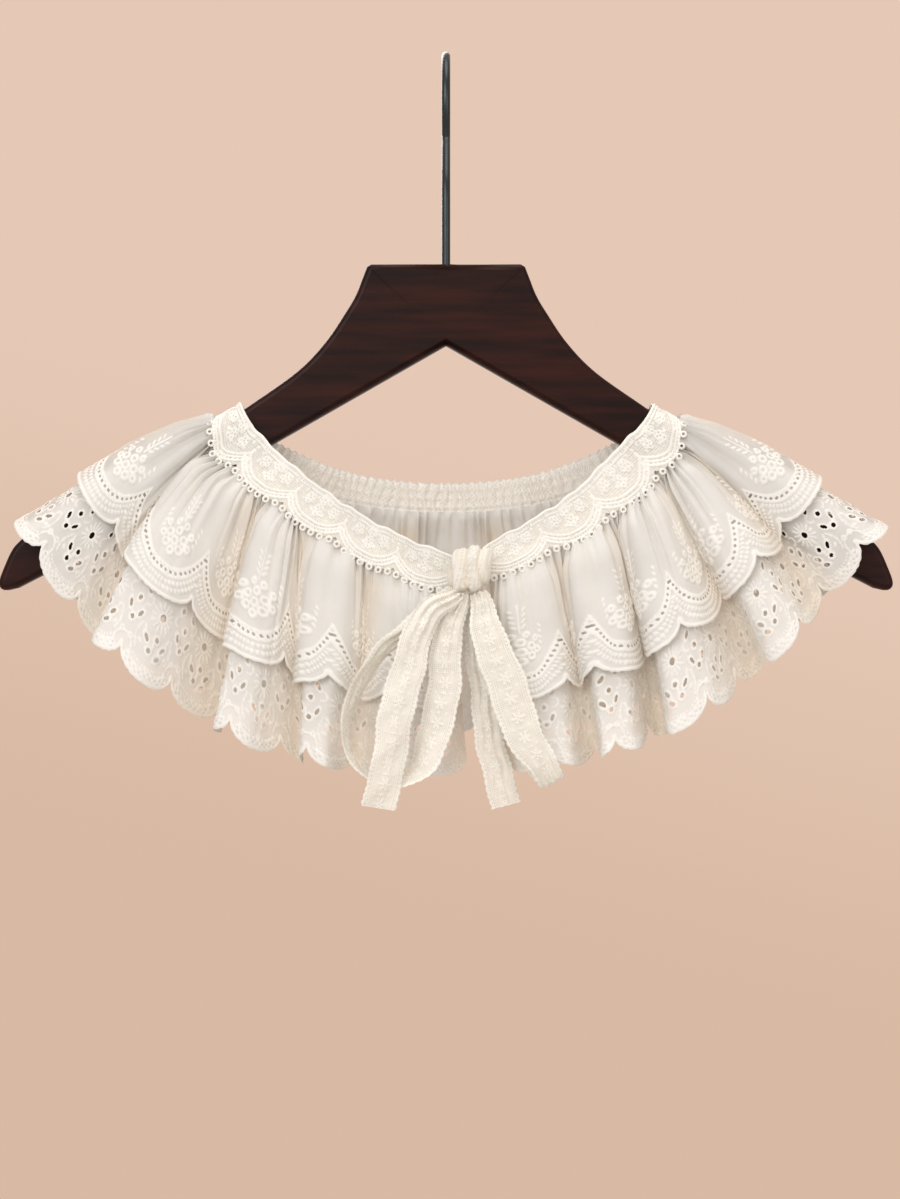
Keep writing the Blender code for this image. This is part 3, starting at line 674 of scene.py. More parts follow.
def drawLower(across, up, pitch):
    sew = lowerStitches
    local = across % pitch - pitch / 2
    depth = lowerTier["scallopDepth"]
    drawing = Drawing(local, up)
    hem = fromHem(local, up, pitch, depth)
    for cord in sew["cords"]:
        drawing.cord(hem, cord)
    drawing.stitch(hemSpots(pitch, depth, *sew["hemLoops"]))
    drawing.stitch(hemSpots(pitch, depth, *sew["hemSatin"]))
    drawing.up = up - borderSway(np.floor(across / pitch))
    drawing.stitch(lowerMotifs)
    stem, curl = sew["stem"], sew["curl"]
    for side in (-1, 1):
        line = local - side * (stem["side"] + stem["sway"] * np.sin((up - stem["from"]) / stem["wave"]))
        drawing.cord(between(up, stem["from"], stem["to"], line), sew["stemCord"])
        arc = np.hypot(local - side * curl["side"], up - curl["up"])
        drawing.cord(np.where(local * side < curl["within"], arc, farOff), sew["curlCord"])
    return drawing


def drawUpper(across, up, pitch):
    sew = upperStitches
    local = across % pitch - pitch / 2
    drawing = Drawing(local, up)
    drawing.cord(fromHem(local, up, pitch, upperTier["scallopDepth"]), sew["hemCord"])
    for base, rise in sew["satinRows"]:
        drawing.cord(rowDistance(local, up, pitch, base, rise, rowPower), sew["rowCord"])
    for x, y, turn, kind in rowSpots(pitch, *sew["holeRow"]):
        drawing.pinhole(x, y, sew["holeRadius"])
    for row in sew["beadRows"]:
        drawing.stitch(rowSpots(pitch, *row, *sew["bead"]))
    drawing.stitch(upperMotifs)
    drawing.cord(between(up, *sew["stem"], local), sew["stemCord"])
    return drawing


def aroundHole(across, up, hole, extra):
    c, s = math.cos(math.radians(hole.turn)), math.sin(math.radians(hole.turn))
    dx, dy = across - hole.x, up - hole.y
    near = (np.abs(dx) < hole.longHalf + extra) & (np.abs(dy) < hole.longHalf + extra)
    dx, dy = dx[near], dy[near]
    return near, dx, dy, np.hypot((dx * c + dy * s) / hole.wideHalf, (dy * c - dx * s) / hole.longHalf)


# Snaps the points at a hole's edge onto it, and marks the points inside it
def cutHoles(across, up, holes, cell):
    inside = np.zeros(across.shape, bool)
    for hole in holes:
        near, dx, dy, q = aroundHole(across, up, hole, 2.0)
        margin = 0.6 * cell / math.sqrt(hole.wideHalf * hole.longHalf)
        edge = (q > 1.0 - margin) & (q < 1.0 + margin)
        scale = np.where(edge, 1.0 / np.maximum(q, 0.05), 1.0)
        across[near] = hole.x + dx * scale
        up[near] = hole.y + dy * scale
        inside[near] |= q < 1.0 + margin
    return inside


def rimStitches(drawing, across, up, holes):
    for hole in holes:
        near, dx, dy, q = aroundHole(across, up, hole, rim["near"])
        off = (q - 1.0) * math.sqrt(hole.wideHalf * hole.longHalf) - rim["half"] * rim["set"]
        drawing.put(dome(off, rim["half"]), rim["rise"], near)


# Each vertex of a piece also carries its place on the flat cloth, whose unit is 100 millimetres
def gridPiece(name, points, across, up, layers, material, inside=None, turned=False):
    bm = bmesh.new()
    bmesh.ops.create_grid(bm, x_segments=points.shape[1] - 1, y_segments=points.shape[0] - 1, size=1.0)
    mesh = bpy.data.meshes.new(name)
    bm.to_mesh(mesh)
    bm.free()
    flat = np.stack([across, up], -1) * mm * 10
    step = -1 if turned else 1
    mesh.vertices.foreach_set("co", (points[:, ::step].reshape(-1, 3) * mm).astype(np.float32).ravel())
    corner = np.empty(len(mesh.loops), np.int32)
    mesh.loops.foreach_get("vertex_index", corner)
    uv = mesh.uv_layers.new(name="cloth")
    uv.data.foreach_set("uv", flat[:, ::step].reshape(-1, 2)[corner].astype(np.float32).ravel())
    for layer, values in layers.items():
        attribute = mesh.attributes.new(layer, "FLOAT", "POINT")
        attribute.data.foreach_set("value", values[:, ::step].astype(np.float32).ravel())
    if inside is not None and inside.any():
        bm = bmesh.new()
        bm.from_mesh(mesh)
        gone = inside[:, ::step].ravel()
        doomed = [f for f in bm.faces if all(gone[v.index] for v in f.verts)]
        bmesh.ops.delete(bm, geom=doomed, context="FACES")
        bm.to_mesh(mesh)
        bm.free()
    mesh.shade_smooth()
    mesh.materials.append(material)
    return addObject(name, mesh)


# The front and back pieces are sewn together along the ridge of each arm
def closeSeam(panel, points):
    points[:, 0, 1] = 0.0
    if panel.bothEnds:
        points[:, -1, 1] = 0.0
    return points


# Fine gathers under the band, each dying out at its own height, over softer and longer creases
def gatheredRelief(hem, down, size):
    phase = 2 * np.pi * (hem / gathers["pitch"] + waves(hem, gathers["wander"]))
    reach = gathers["reach"] * (1.0 + waves(hem, gathers["reachWander"]))
    fade = smooth(down / gathers["start"]) * np.exp(-((down / reach) ** gathers["fall"]))
    ridges = np.sin(phase) + 0.3 * np.sin(2 * phase + 0.6)
    uneven = 0.8 + waves(hem, gathers["uneven"])
    softPhase = 2 * np.pi * (hem / softCreases["pitch"] + waves(hem, softCreases["wander"]))
    softFade = smooth(down / softCreases["by"]) * np.clip(1.0 - down / softCreases["to"], 0, 1)
    return size * fade * uneven * ridges + softCreases["rise"] * np.sin(softPhase) * softFade


# Grid lines over the flat strip, fine over the embroidered border and coarser above it
def stripGrid(side, tier, total, pitch, depth):
    cell = tier["cell"][side]
    fineRows = np.arange(0.0, tier["fineTo"], cell)
    coarseRows = np.arange(tier["fineTo"], depth - 0.5, tier["coarse"])
    heights = np.concatenate([fineRows, coarseRows, [depth - hemEdge["topRow"]]])
    across, level = np.meshgrid(evenSteps(0.0, total, cell), heights)
    edge = scallop(across, pitch, tier["scallopDepth"]) * (1.0 - smooth(level / hemEdge["scallopFade"]))
    wave = hemEdge["wave"] * np.abs(np.sin(np.pi * across / hemEdge["wavePitch"]))
    return across, level + edge - wave * np.clip(1.0 - level / hemEdge["waveFade"], 0, 1)


def sheerOverWood(points):
    below = arm["lineZ"] - (np.abs(points[..., 0]) - arm["lineX"]) * arm["slope"] - points[..., 2]
    high = smooth((overWood["height"] - below) / overWood["heightFade"])
    near = smooth((overWood["reach"] - np.abs(points[..., 1])) / overWood["reachFade"])
    return overWood["sheer"] * high * near


# How much painted shade a place takes, in its fold valleys and gather grooves
def paintedShadeShare(panel, place, down, gather):
    depth = np.array([f.depth for f in panel.folds])[foldIndex(panel, place)]
    deep = np.clip(depth / paintedValleyShade["fullDepth"], 0, 1)
    valley = np.abs(np.cos(np.pi * place)) ** paintedValleyShade["sharp"] * deep * smooth(down / paintedValleyShade["by"])
    return np.maximum(valley, paintedValleyShade["groove"] * np.clip(-gather / upperTier["gather"], 0, 1))


def ruffle(side, tier, label, draw, holesOf, node):
    panel = panels[side]
    fine, length = clothLine(panel, tier["share"])
    total = length[-1]
    pitches = tier["pitches"][side]
    pitch = total / pitches
    depth = drop * tier["share"]
    across, up = stripGrid(side, tier, total, pitch, depth)
    holes = holesOf(pitch, pitches) if holesOf else []
    inside = cutHoles(across, up, holes, tier["cell"][side])
    drawing = draw(across, up, pitch)
    rimStitches(drawing, across, up, holes)
    place = np.clip(np.interp(across, length, fine), 0.0, len(panel.folds) - 1.0)
    down = np.clip((depth - up) / drop, leastDown, 1.0)
    out = directions(foldedSurface, panel, place, down)[1]
    gather = gatheredRelief(np.interp(place, *clothLine(panel, 1.0)), down, tier["gather"])
    puff = tier["puff"] * smooth(down / gathers["puffBy"])
    creases = crumple["rise"] * np.sin(across / crumple["run"] + crumple["slant"] * up)
    creases *= np.sin(up / crumple["up"] + across / crumple["drift"]) * smooth(down / crumple["by"])
    offset = tier["offset"] + puff + gather + creases + drawing.height
    points = closeSeam(panel, foldedSurface(panel, place, down) + out * offset[..., None])
    layers = {
        "thread": drawing.thread,
        "pierced": np.maximum(drawing.pierced, sheerOverWood(points) * (1.0 - drawing.thread)),
        # the painted shade layer marks fold valleys and gather grooves
        "paintedShade": paintedShadeShare(panel, place, down, gather),
    }
    turned = panel.xSide * panel.ySide > 0
    ob = gridPiece(label + side, points, across, up, layers, voile, inside, turned)
    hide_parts(node)
    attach(ob, "root")
    print("made", label + side, len(ob.data.polygons), "faces, cloth", round(total), "mm")


# A group that turns a place and one number into a mask
def maskGroup(name, number, value, result):
    group = bpy.data.node_groups.new(name, "ShaderNodeTree")
    group.interface.new_socket("Vector", in_out="INPUT", socket_type="NodeSocketVector")
    socket = group.interface.new_socket(number, in_out="INPUT", socket_type="NodeSocketFloat")
    socket.default_value = value
    group.interface.new_socket(result, in_out="OUTPUT", socket_type="NodeSocketFloat")
    return group, group.nodes.new("NodeGroupInput").outputs, group.nodes.new("NodeGroupOutput")


# Crossed ribs over the flat cloth, with a count of them to each 100 millimetres
def makeWeave():
    group, given, result = maskGroup("threadWeave", "Threads", 25.0, "Height")
    parts = addNode(group, "SeparateXYZ", {0: given["Vector"]})
    ribs = []
    for axis in ("X", "Y"):
        turns = mathNode(group, "MULTIPLY", parts.outputs[axis], given["Threads"])
        wave = mathNode(group, "SINE", mathNode(group, "MULTIPLY", turns, 2 * math.pi))
        ribs.append(mathNode(group, "MULTIPLY_ADD", wave, 0.5, 0.5))
    fill(group, result, {"Height": mathNode(group, "MULTIPLY", *ribs)})
    return group


# Soft unevenness in tone, from the object's own place
def makeTone():
    group, given, result = maskGroup("clothTone", "Scale", 40.0, "Mask")
    inputs = {"Detail": 4.0, "Vector": given["Vector"], "Scale": given["Scale"]}
    noise = addNode(group, "TexNoise", inputs)
    fill(group, result, {"Mask": noise.outputs[0]})
    return group


weaveGroup = makeWeave()
toneGroup = makeTone()


def toneMask(tree, scale):
    inputs = {"Scale": scale, "Vector": addNode(tree, "TexCoord").outputs["Object"]}
    return addNode(tree, "Group", inputs, node_tree=toneGroup).outputs["Mask"]


clothLook = {
    "finish": {"Roughness": 0.78, "Sheen Weight": 0.25, "Specular IOR Level": 0.25},
    "toneScale": 60.0,
    "tone": {"From Min": 0.3, "From Max": 0.7, "To Min": 0.93, "To Max": 1.0},
    "relief": {"Strength": 0.25, "Distance": 0.0002},
}


def clothMaterial(name, ground, thread, groundAlpha, threads):
    made, tree, shader = newMaterial(name, clothLook["finish"])
    place = addNode(tree, "UVMap", uv_map="cloth").outputs[0]
    weave = addNode(tree, "Group", {"Threads": threads, "Vector": place}, node_tree=weaveGroup)
    masks = []
    for layer in ("thread", "pierced", "paintedShade"):
        masks.append(addNode(tree, "Attribute", attribute_name=layer).outputs["Fac"])
    cover, pierced, paintedShade = masks
    mask = toneMask(tree, clothLook["toneScale"])
    tone = addNode(tree, "MapRange", {"Value": mask, **clothLook["tone"]})
    grey = addNode(tree, "CombineColor", dict.fromkeys(range(3), tone.outputs[0]))
    colour = mixNode(tree, 1.0, mixNode(tree, cover, ground, thread), grey.outputs[0], "MULTIPLY")
    # Painted shade: valleys and grooves are darkened with a warm tint
    colour = mixNode(tree, paintedShade, colour, paintedValleyShade["tint"], "MULTIPLY")
    added = mathNode(tree, "MULTIPLY", cover, 1.0 - groundAlpha)
    opaque = mathNode(tree, "ADD", added, groundAlpha, clamp=True)
    left = mathNode(tree, "SUBTRACT", 1.0, pierced, clamp=True)
    alpha = mathNode(tree, "MULTIPLY", opaque, left, clamp=True)
    bump = addNode(tree, "Bump", {"Height": weave.outputs["Height"], **clothLook["relief"]})
    fill(tree, shader, {"Base Color": colour, "Alpha": alpha, "Normal": bump.outputs[0]})
    return made


voile = clothMaterial("voile", (0.86, 0.845, 0.815, 1), (0.91, 0.895, 0.86, 1), 0.84, 22.0)
guipure = clothMaterial("guipure", (0.88, 0.85, 0.78, 1), (0.94, 0.925, 0.88, 1), 0.93, 18.0)
ribbonLace = clothMaterial("ribbonLace", (0.91, 0.87, 0.79, 1), (0.94, 0.915, 0.85, 1), 0.94, 16.0)

for side, nodeSide in (("FrontLeft", "front_left"), ("FrontRight", "front_right"), ("Back", "back")):
    ruffle(side, lowerTier, "lowerRuffle", drawLower, lowerHoles, "lower_ruffle_" + nodeSide)
    ruffle(side, upperTier, "upperRuffle", drawUpper, None, "upper_ruffle_" + nodeSide)


frontBand = {
    "width": 15.5,
    "cell": 0.4,
    "atCusp": 1.8,
    "atMiddle": -2.0,
    "festoon": 27.5,
    "arc": (5.4, 2.4),
    "offset": 1.5,
    "flare": 1.7,
    "flareBelow": 7.0,
    "endEase": 8.0,
}
# Little thread rings that stand along the band's lower edge
picot = {
    "perFestoon": 7,
    "inset": 1.0,
    "out": 0.5,
    "radius": 1.15,
    "thread": 0.6,
    "around": 12,
    "sides": 5,
}
bandMotifs = []
for x, y in ((0.0, 6.4), (-6.6, 9.4), (6.6, 9.4), (0.0, 11.6)):
    bandMotifs += petals(x, y, 5, 36.0, 1.6, Loop(0.8, 0.42, 0.5))
for x in (-frontBand["festoon"] / 2, frontBand["festoon"] / 2):
    bandMotifs.append((x, 6.2, 0, Loop(1.3, 0.6, 0.5)))
    bandMotifs.append((x, 9.2, 0, Satin(1.4, 0.8, 0.45)))
    bandMotifs.append((x, 11.4, 0, Satin(0.8, 0.6, 0.4)))
for x in (-10.4, -3.4, 3.4, 10.4):
    bandMotifs.append((x, 11.6, 5 * x, Satin(0.95, 0.5, 0.34)))
    bandMotifs.append((x * 0.9, 5.6 + 0.02 * x * x, -5 * x, Satin(0.95, 0.5, 0.34)))
bandStitches = {
    "topCords": (Cord(14.8, 0.75, 0.8), Cord(12.9, 0.35, 0.4)),
    "arcCords": (Cord(0.5, 0.55, 0.6), Cord(2.1, 0.5, 0.6), Cord(3.7, 0.5, 0.6)),
    "rungGap": 1.3,
    "rung": Cord(0.65, 0.32, 0.4),
    "arcLadder": (0.5, 2.1),
    "topLadder": (12.9, 14.8),
    "net": (0.35, 0.42),
}


def drawFrontBand(across, up):
    sew = bandStitches
    pitch = frontBand["festoon"]
    local = across % pitch - pitch / 2
    drawing = Drawing(local, up)
    edge = rowDistance(local, up, pitch, frontBand["atMiddle"], *frontBand["arc"])
    for cord in sew["topCords"]:
        drawing.cord(up, cord)
    for cord in sew["arcCords"]:
        drawing.cord(edge, cord)
    rungs = across % sew["rungGap"]
    drawing.cord(between(edge, *sew["arcLadder"], rungs), sew["rung"])
    drawing.cord(between(up, *sew["topLadder"], rungs), sew["rung"])
    drawing.stitch(bandMotifs)
    drawing.pierced = netHoles(drawing, across, up, *sew["net"])
    return drawing


def bandEdge(share):
    return frontBand["atCusp"] + (frontBand["atMiddle"] - frontBand["atCusp"]) * dome(2.0 * share - 1.0)


def bandLength(panel, down):
    rows = np.linspace(0.0, len(panel.sections) + (1.0 if panel.bothEnds else 0.0), 900)
    return rows, lengthAlong(baseSurface(panel, rows, np.full_like(rows, down)))


# Places on a band, which may spill past its seam along the cloth's own slope
def bandPoints(panel, row, up, width, offset):
    step = 0.02
    down = np.clip(-up / width, -1.0, 0.0)
    above = baseSurface(panel, row, np.clip(down - step, -1.0, -step))
    edge = baseSurface(panel, row, np.clip(down, step - 1.0, 0.0))
    out = directions(baseSurface, panel, row, down)[1]
    spill = unit(edge - above) * np.clip(-up, 0.0, None)[..., None]
    return baseSurface(panel, row, down) + spill + out * offset[..., None], out


def frontBandPiece(side, node):
    panel = panels[side]
    rows, length = bandLength(panel, -0.5)
    total = length[-1]
    cell, width, festoon = frontBand["cell"], frontBand["width"], frontBand["festoon"]
    pitch = total / round(total / festoon)
    levels = evenSteps(0.0, 1.0, cell, width - frontBand["atMiddle"])
    across, level = np.meshgrid(evenSteps(0.0, total, cell), levels)
    scaled = across * festoon / pitch
    lower = bandEdge((scaled / festoon) % 1.0)
    up = lower + (width - lower) * level
    drawing = drawFrontBand(scaled, up)
    flare = smooth(1.0 - up / frontBand["flareBelow"]) * smooth(across / frontBand["endEase"])
    offset = frontBand["offset"] + frontBand["flare"] * flare + drawing.height
    points = bandPoints(panel, np.interp(across, length, rows), up, width, offset)[0]
    uneven = 0.4 * np.sin(across / 3.1 + 0.6 * np.sin(across / 11.0)) + 0.25 * np.sin(across / 1.7)
    points[..., 2] += uneven * smooth(up / width)
    points = closeSeam(panel, points)
    layers = {"thread": drawing.thread, "pierced": drawing.pierced}
    turned = panel.xSide * panel.ySide > 0
    ob = gridPiece("neckband" + side, points, across, up, layers, guipure, turned=turned)
    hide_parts(node)
    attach(ob, "root")
    makePicots(side, panel, rows, length, pitch)
    print("made neckband", side, round(total), "mm")


def makePicots(side, panel, rows, length, pitch):
    spots = np.arange(pitch / 2 / picot["perFestoon"], length[-1], pitch / picot["perFestoon"])
    up = bandEdge((spots / pitch) % 1.0) - picot["inset"]
    row = np.interp(spots, length, rows)
    height = frontBand["offset"] + frontBand["flare"] + picot["out"]
    height = height * smooth(spots / frontBand["endEase"])
    middle, out = bandPoints(panel, row, up, frontBand["width"], height)
    beside = bandPoints(panel, row + 0.05, up, frontBand["width"], height)[0]
    bm = bmesh.new()
    for place, normal, near in zip(middle, out, beside):
        normal = Vector(normal)
        sideways = (Vector(near) - Vector(place)).normalized()
        upwards = normal.cross(sideways).normalized()
        loops = []
        for step in range(picot["around"]):
            turn = step / picot["around"] * 2 * math.pi
            spoke = sideways * math.cos(turn) + upwards * math.sin(turn)
            centre = Vector(place) + spoke * picot["radius"]
            ring = []
            for part in range(picot["sides"]):
                angle = part / picot["sides"] * 2 * math.pi
                offset = spoke * math.cos(angle) + normal * math.sin(angle)
                ring.append(bm.verts.new((centre + offset * picot["thread"]) * mm))
            loops.append(ring)
        for first, second in zip(loops, loops[1:] + loops[:1]):
            for a in range(picot["sides"]):
                b = (a + 1) % picot["sides"]
                bm.faces.new((first[a], second[a], second[b], first[b]))
    bmesh.ops.recalc_face_normals(bm, faces=bm.faces[:])
    solidPiece("picots" + side, bm, plainThread)


def solidPiece(name, bm, material, node=None):
    mesh = bpy.data.meshes.new(name)
    bm.to_mesh(mesh)
    bm.free()
    mesh.shade_smooth()
    mesh.materials.append(material)
    ob = addObject(name, mesh)
    if node:
        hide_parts(node)
    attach(ob, "root")
    return ob


threadLook = {
    "finish": {"Base Color": (0.93, 0.905, 0.85, 1), "Roughness": 0.7},
    "toneScale": 900.0,
    "relief": {"Strength": 0.5, "Distance": 0.0001},
}


def makeThread():
    made, tree, shader = newMaterial("plainThread", threadLook["finish"])
    mask = toneMask(tree, threadLook["toneScale"])
    bump = addNode(tree, "Bump", {"Height": mask, **threadLook["relief"]})
    fill(tree, shader, {"Normal": bump.outputs[0]})
    return made


plainThread = makeThread()
frontBandPiece("FrontLeft", "neckband_left")
frontBandPiece("FrontRight", "neckband_right")

backBand = {
    "width": 13.0,
    "cell": 0.5,
    "offset": 0.8,
    "ridge": 3.9,
    "rise": 1.7,
    "wave": 0.5,
    "waveFrom": (9.0, 4.0),
    "elastics": (2.2, 6.2, 10.0),
    "elastic": (0.35, 1.4),
    "knot": 0.3,
    "open": 0.35,
    "takeUp": 1.25,
    "edgeCord": Cord(0.5, 0.6, 0.3),
}


# Elastic lace, shirred into fine upright ridges that its elastics pinch
def backBandPiece():
    panel = panels["Back"]
    rows, length = bandLength(panel, -0.5)
    total = length[-1]
    width, cell = backBand["width"], backBand["cell"]
    across, up = np.meshgrid(evenSteps(0.0, total, cell), evenSteps(0.0, width, cell))
    wander = 1.3 * np.sin(across / 11.0) + 0.8 * np.sin(across / 4.3 + up / 3.0)
    turns = 2 * np.pi * (across + wander) / backBand["ridge"]
    least, reach = backBand["elastic"]
    pinch = np.ones_like(up)
    for line in backBand["elastics"]:
        pinch = np.minimum(pinch, least + (1.0 - least) * smooth(np.abs(up - line) / reach))
    ridge = (0.5 + 0.5 * np.sin(turns)) ** 1.3
    height = backBand["rise"] * (0.25 + 0.75 * pinch) * ridge * (0.85 + 0.25 * np.sin(across / 7.7))
    drawing = Drawing(across, up)
    drawing.cord(up, backBand["edgeCord"])
    drawing.cord(width - up, backBand["edgeCord"])
    warp = across + 0.9 * np.sin(up * 1.7 + across / 3.3) + 0.6 * np.sin(across / 1.9)
    knots = np.sin(2 * np.pi * warp / 1.7) * np.sin(2 * np.pi * (up + 0.5 * np.sin(across / 2.3)) / 1.9)
    relief = drawing.height + backBand["knot"] * np.clip(knots, 0, 1)
    layers = {
        "thread": np.maximum(drawing.thread, np.clip(knots * 1.5, 0, 1)),
        "pierced": backBand["open"] * np.clip(-knots * 1.8 - 0.5, 0, 1),
    }
    row = np.interp(across, length, rows)
    points = bandPoints(panel, row, up, width, backBand["offset"] + height + relief)[0]
    low, reach = backBand["waveFrom"]
    points[..., 2] += backBand["wave"] * np.sin(turns + 0.7) * smooth((up - low) / reach)
    ob = gridPiece("neckbandBack", closeSeam(panel, points), across, up, layers, guipure)
    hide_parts("neckband_back")
    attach(ob, "root")
    print("made neckband back", round(total), "mm")


backBandPiece()

Route = namedtuple("Route", "x y z width roll")
ribbonRoutes = {
    "tieTailLeft": [
        (5.0, -37.6, -238.7, 8.0, 0),
        (-6.5, -43.5, -247.0, 12.0, -4),
        (-14.5, -48.5, -264.0, 15.0, -6),
        (-20.5, -53.5, -288.0, 15.5, 3),
        (-25.3, -56.0, -313.0, 15.5, -3),
        (-28.5, -56.0, -332.0, 15.5, 0),
    ],
    "bowLoopLeft": [
        (6.5, -35.4, -238.9, 7.5, 0),
        (1.0, -40.0, -259.0, 13.0, 8),
        (-1.5, -42.5, -282.0, 15.0, 10),
        (-5.5, -44.5, -303.0, 15.0, 20),
        (-13.0, -45.5, -316.0, 14.5, 52),
        (-25.0, -45.5, -321.0, 14.5, 74),
        (-37.0, -45.5, -316.5, 14.5, 80),
        (-43.5, -45.5, -304.0, 14.5, 78),
        (-42.0, -44.5, -288.0, 14.5, 72),
        (-31.0, -41.0, -268.0, 13.0, 62),
        (-14.0, -37.0, -252.0, 9.0, 40),
        (3.5, -31.6, -238.6, 6.0, 5),
    ],
    "bowLoopRight": [
        (14.0, -36.6, -238.8, 8.0, 0),
        (18.5, -43.0, -256.0, 14.5, 6),
        (27.0, -46.5, -281.0, 17.5, 4),
        (36.0, -48.0, -304.0, 16.0, -8),
        (43.0, -47.5, -315.0, 12.5, 0),
        (46.5, -44.2, -321.5, 11.5, 0),
        (42.5, -40.6, -315.0, 12.5, 0),
        (35.0, -40.7, -302.0, 15.0, -4),
        (25.5, -39.6, -279.0, 15.0, 4),
        (18.0, -38.0, -256.0, 12.0, 4),
        (14.5, -33.4, -239.2, 8.0, 0),
    ],
    "tieTailRight": [
        (13.0, -30.6, -238.9, 8.0, 0),
        (14.5, -32.5, -262.0, 11.5, 6),
        (17.6, -34.5, -290.0, 12.5, -4),
        (22.0, -35.5, -316.0, 13.0, 4),
        (26.2, -36.0, -332.0, 13.0, 0),
    ],
}
ribbonNodes = {
    "tieTailLeft": "tie_tail_left",
    "bowLoopLeft": "bow_loop_left",
    "bowLoopRight": "bow_loop_right",
    "tieTailRight": "tie_tail_right",
}
ribbonCut = {"width": 16.0, "cell": 0.45, "cup": 0.6, "picot": 3.0, "picotDepth": 0.55, "gather": 2.2}
ribbonMotifs = petals(0.0, 0.0, 6, 0.0, 2.1, Satin(1.15, 0.6, 0.34))
ribbonMotifs.append((0.0, 0.0, 0, Loop(0.7, 0.4, 0.3)))
for x in (-3.6, -1.8, 0.0, 1.8, 3.6):
    ribbonMotifs.append((x, -6.318, 0, Satin(0.5, 0.5, 0.28)))
    ribbonMotifs.append((x, 6.318, 0, Satin(0.5, 0.5, 0.28)))
for x in (-4.5, 4.5):
    ribbonMotifs.append((x, 0.0, 0, Satin(1.6, 0.5, 0.26)))
    ribbonMotifs.append((x, 3.4, 40, Satin(0.9, 0.5, 0.26)))
    ribbonMotifs.append((x, -3.4, -40, Satin(0.9, 0.5, 0.26)))
ribbonStitches = {"repeat": 9.0, "cords": (Cord(7.3, 0.45, 0.3), Cord(5.4, 0.3, 0.2)), "net": (0.4, 0.4)}


def drawRibbon(across, up):
    sew = ribbonStitches
    drawing = Drawing(across % sew["repeat"] - sew["repeat"] / 2, up)
    for cord in sew["cords"]:
        drawing.cord(np.abs(up), cord)
    drawing.stitch(ribbonMotifs)
    drawing.pierced = netHoles(drawing, across, up, *sew["net"])
    return drawing


def ribbonPiece(label, node, route):
    def along(axes, at):
        return np.stack([through([getattr(p, axis) for p in route], at) for axis in axes], -1)

    fine = np.linspace(0.0, len(route) - 1.0, 1400)
    length = lengthAlong(along("xyz", fine))
    total = length[-1]
    run = evenSteps(0.0, total, ribbonCut["cell"])
    at = np.interp(run, length, fine)
    line = along("xyz", at)
    width, roll = along(("width", "roll"), at).T
    roll = np.radians(roll)[:, None]
    forward = unit(np.gradient(line, axis=0))
    level = np.zeros_like(forward)
    level[0] = unit(np.array([-forward[0, 2], 0.0, forward[0, 0]]))
    for index in range(1, len(at)):
        carried = level[index - 1]
        level[index] = unit(carried - forward[index] * np.dot(carried, forward[index]))
    facing = unit(np.cross(forward, level))
    sideways = level * np.cos(roll) + facing * np.sin(roll)
    normal = unit(np.cross(forward, sideways))
    whole = ribbonCut["width"]
    run, up = np.meshgrid(run, evenSteps(-whole / 2, whole / 2, ribbonCut["cell"]))
    drawing = drawRibbon(run, up)
    loops = ribbonCut["picotDepth"] * (np.abs(np.sin(np.pi * run / ribbonCut["picot"])) - 0.6)
    share = up / whole
    gather = np.clip(1.0 - width[None] / whole, 0, 1) * ribbonCut["gather"] * np.sin(up * 1.3 + 0.5)
    cup = ribbonCut["cup"] * (1.0 - (2 * share) ** 2)
    ripple = 0.35 * np.sin(run / 9.0 + up / 5.0)
    ripple += 0.3 * np.sin(run / 3.6 + up / 2.4 + 0.9 * np.sin(run / 14.0))
    sway = 0.5 * np.sin(run / 6.5 + 1.3) + 0.3 * np.sin(run / 2.9)
    reach = share * width[None] + np.sign(share) * loops * (np.abs(share) > 0.46) + sway
    points = line[None] + sideways[None] * reach[..., None]
    points = points + normal[None] * (cup + gather + ripple + drawing.height)[..., None]
    layers = {"thread": drawing.thread, "pierced": drawing.pierced}
    ob = gridPiece(label, points, run, up, layers, ribbonLace)
    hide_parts(node)
    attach(ob, "root")
    print("made", label, round(total), "mm")


for label, route in ribbonRoutes.items():
    ribbonPiece(label, ribbonNodes[label], asRows(Route, route))

knot = {
    "middle": (10.5, -32.6, -228.4),
    "half": np.array([9.5, 7.2, 9.7]),
    "cell": 0.45,
    "lean": 0.18,
    "pole": 0.02,
    "wrap": (0.93, 0.98),
    "pleats": (0.075, 7.2),
    "finePleats": (0.04, 15.0),
    "spread": 1.6,
    "relief": 1.6,
    "open": 0.5,
    # how strongly painted shade darkens the troughs of the pleats
    "tint": 0.6,
}


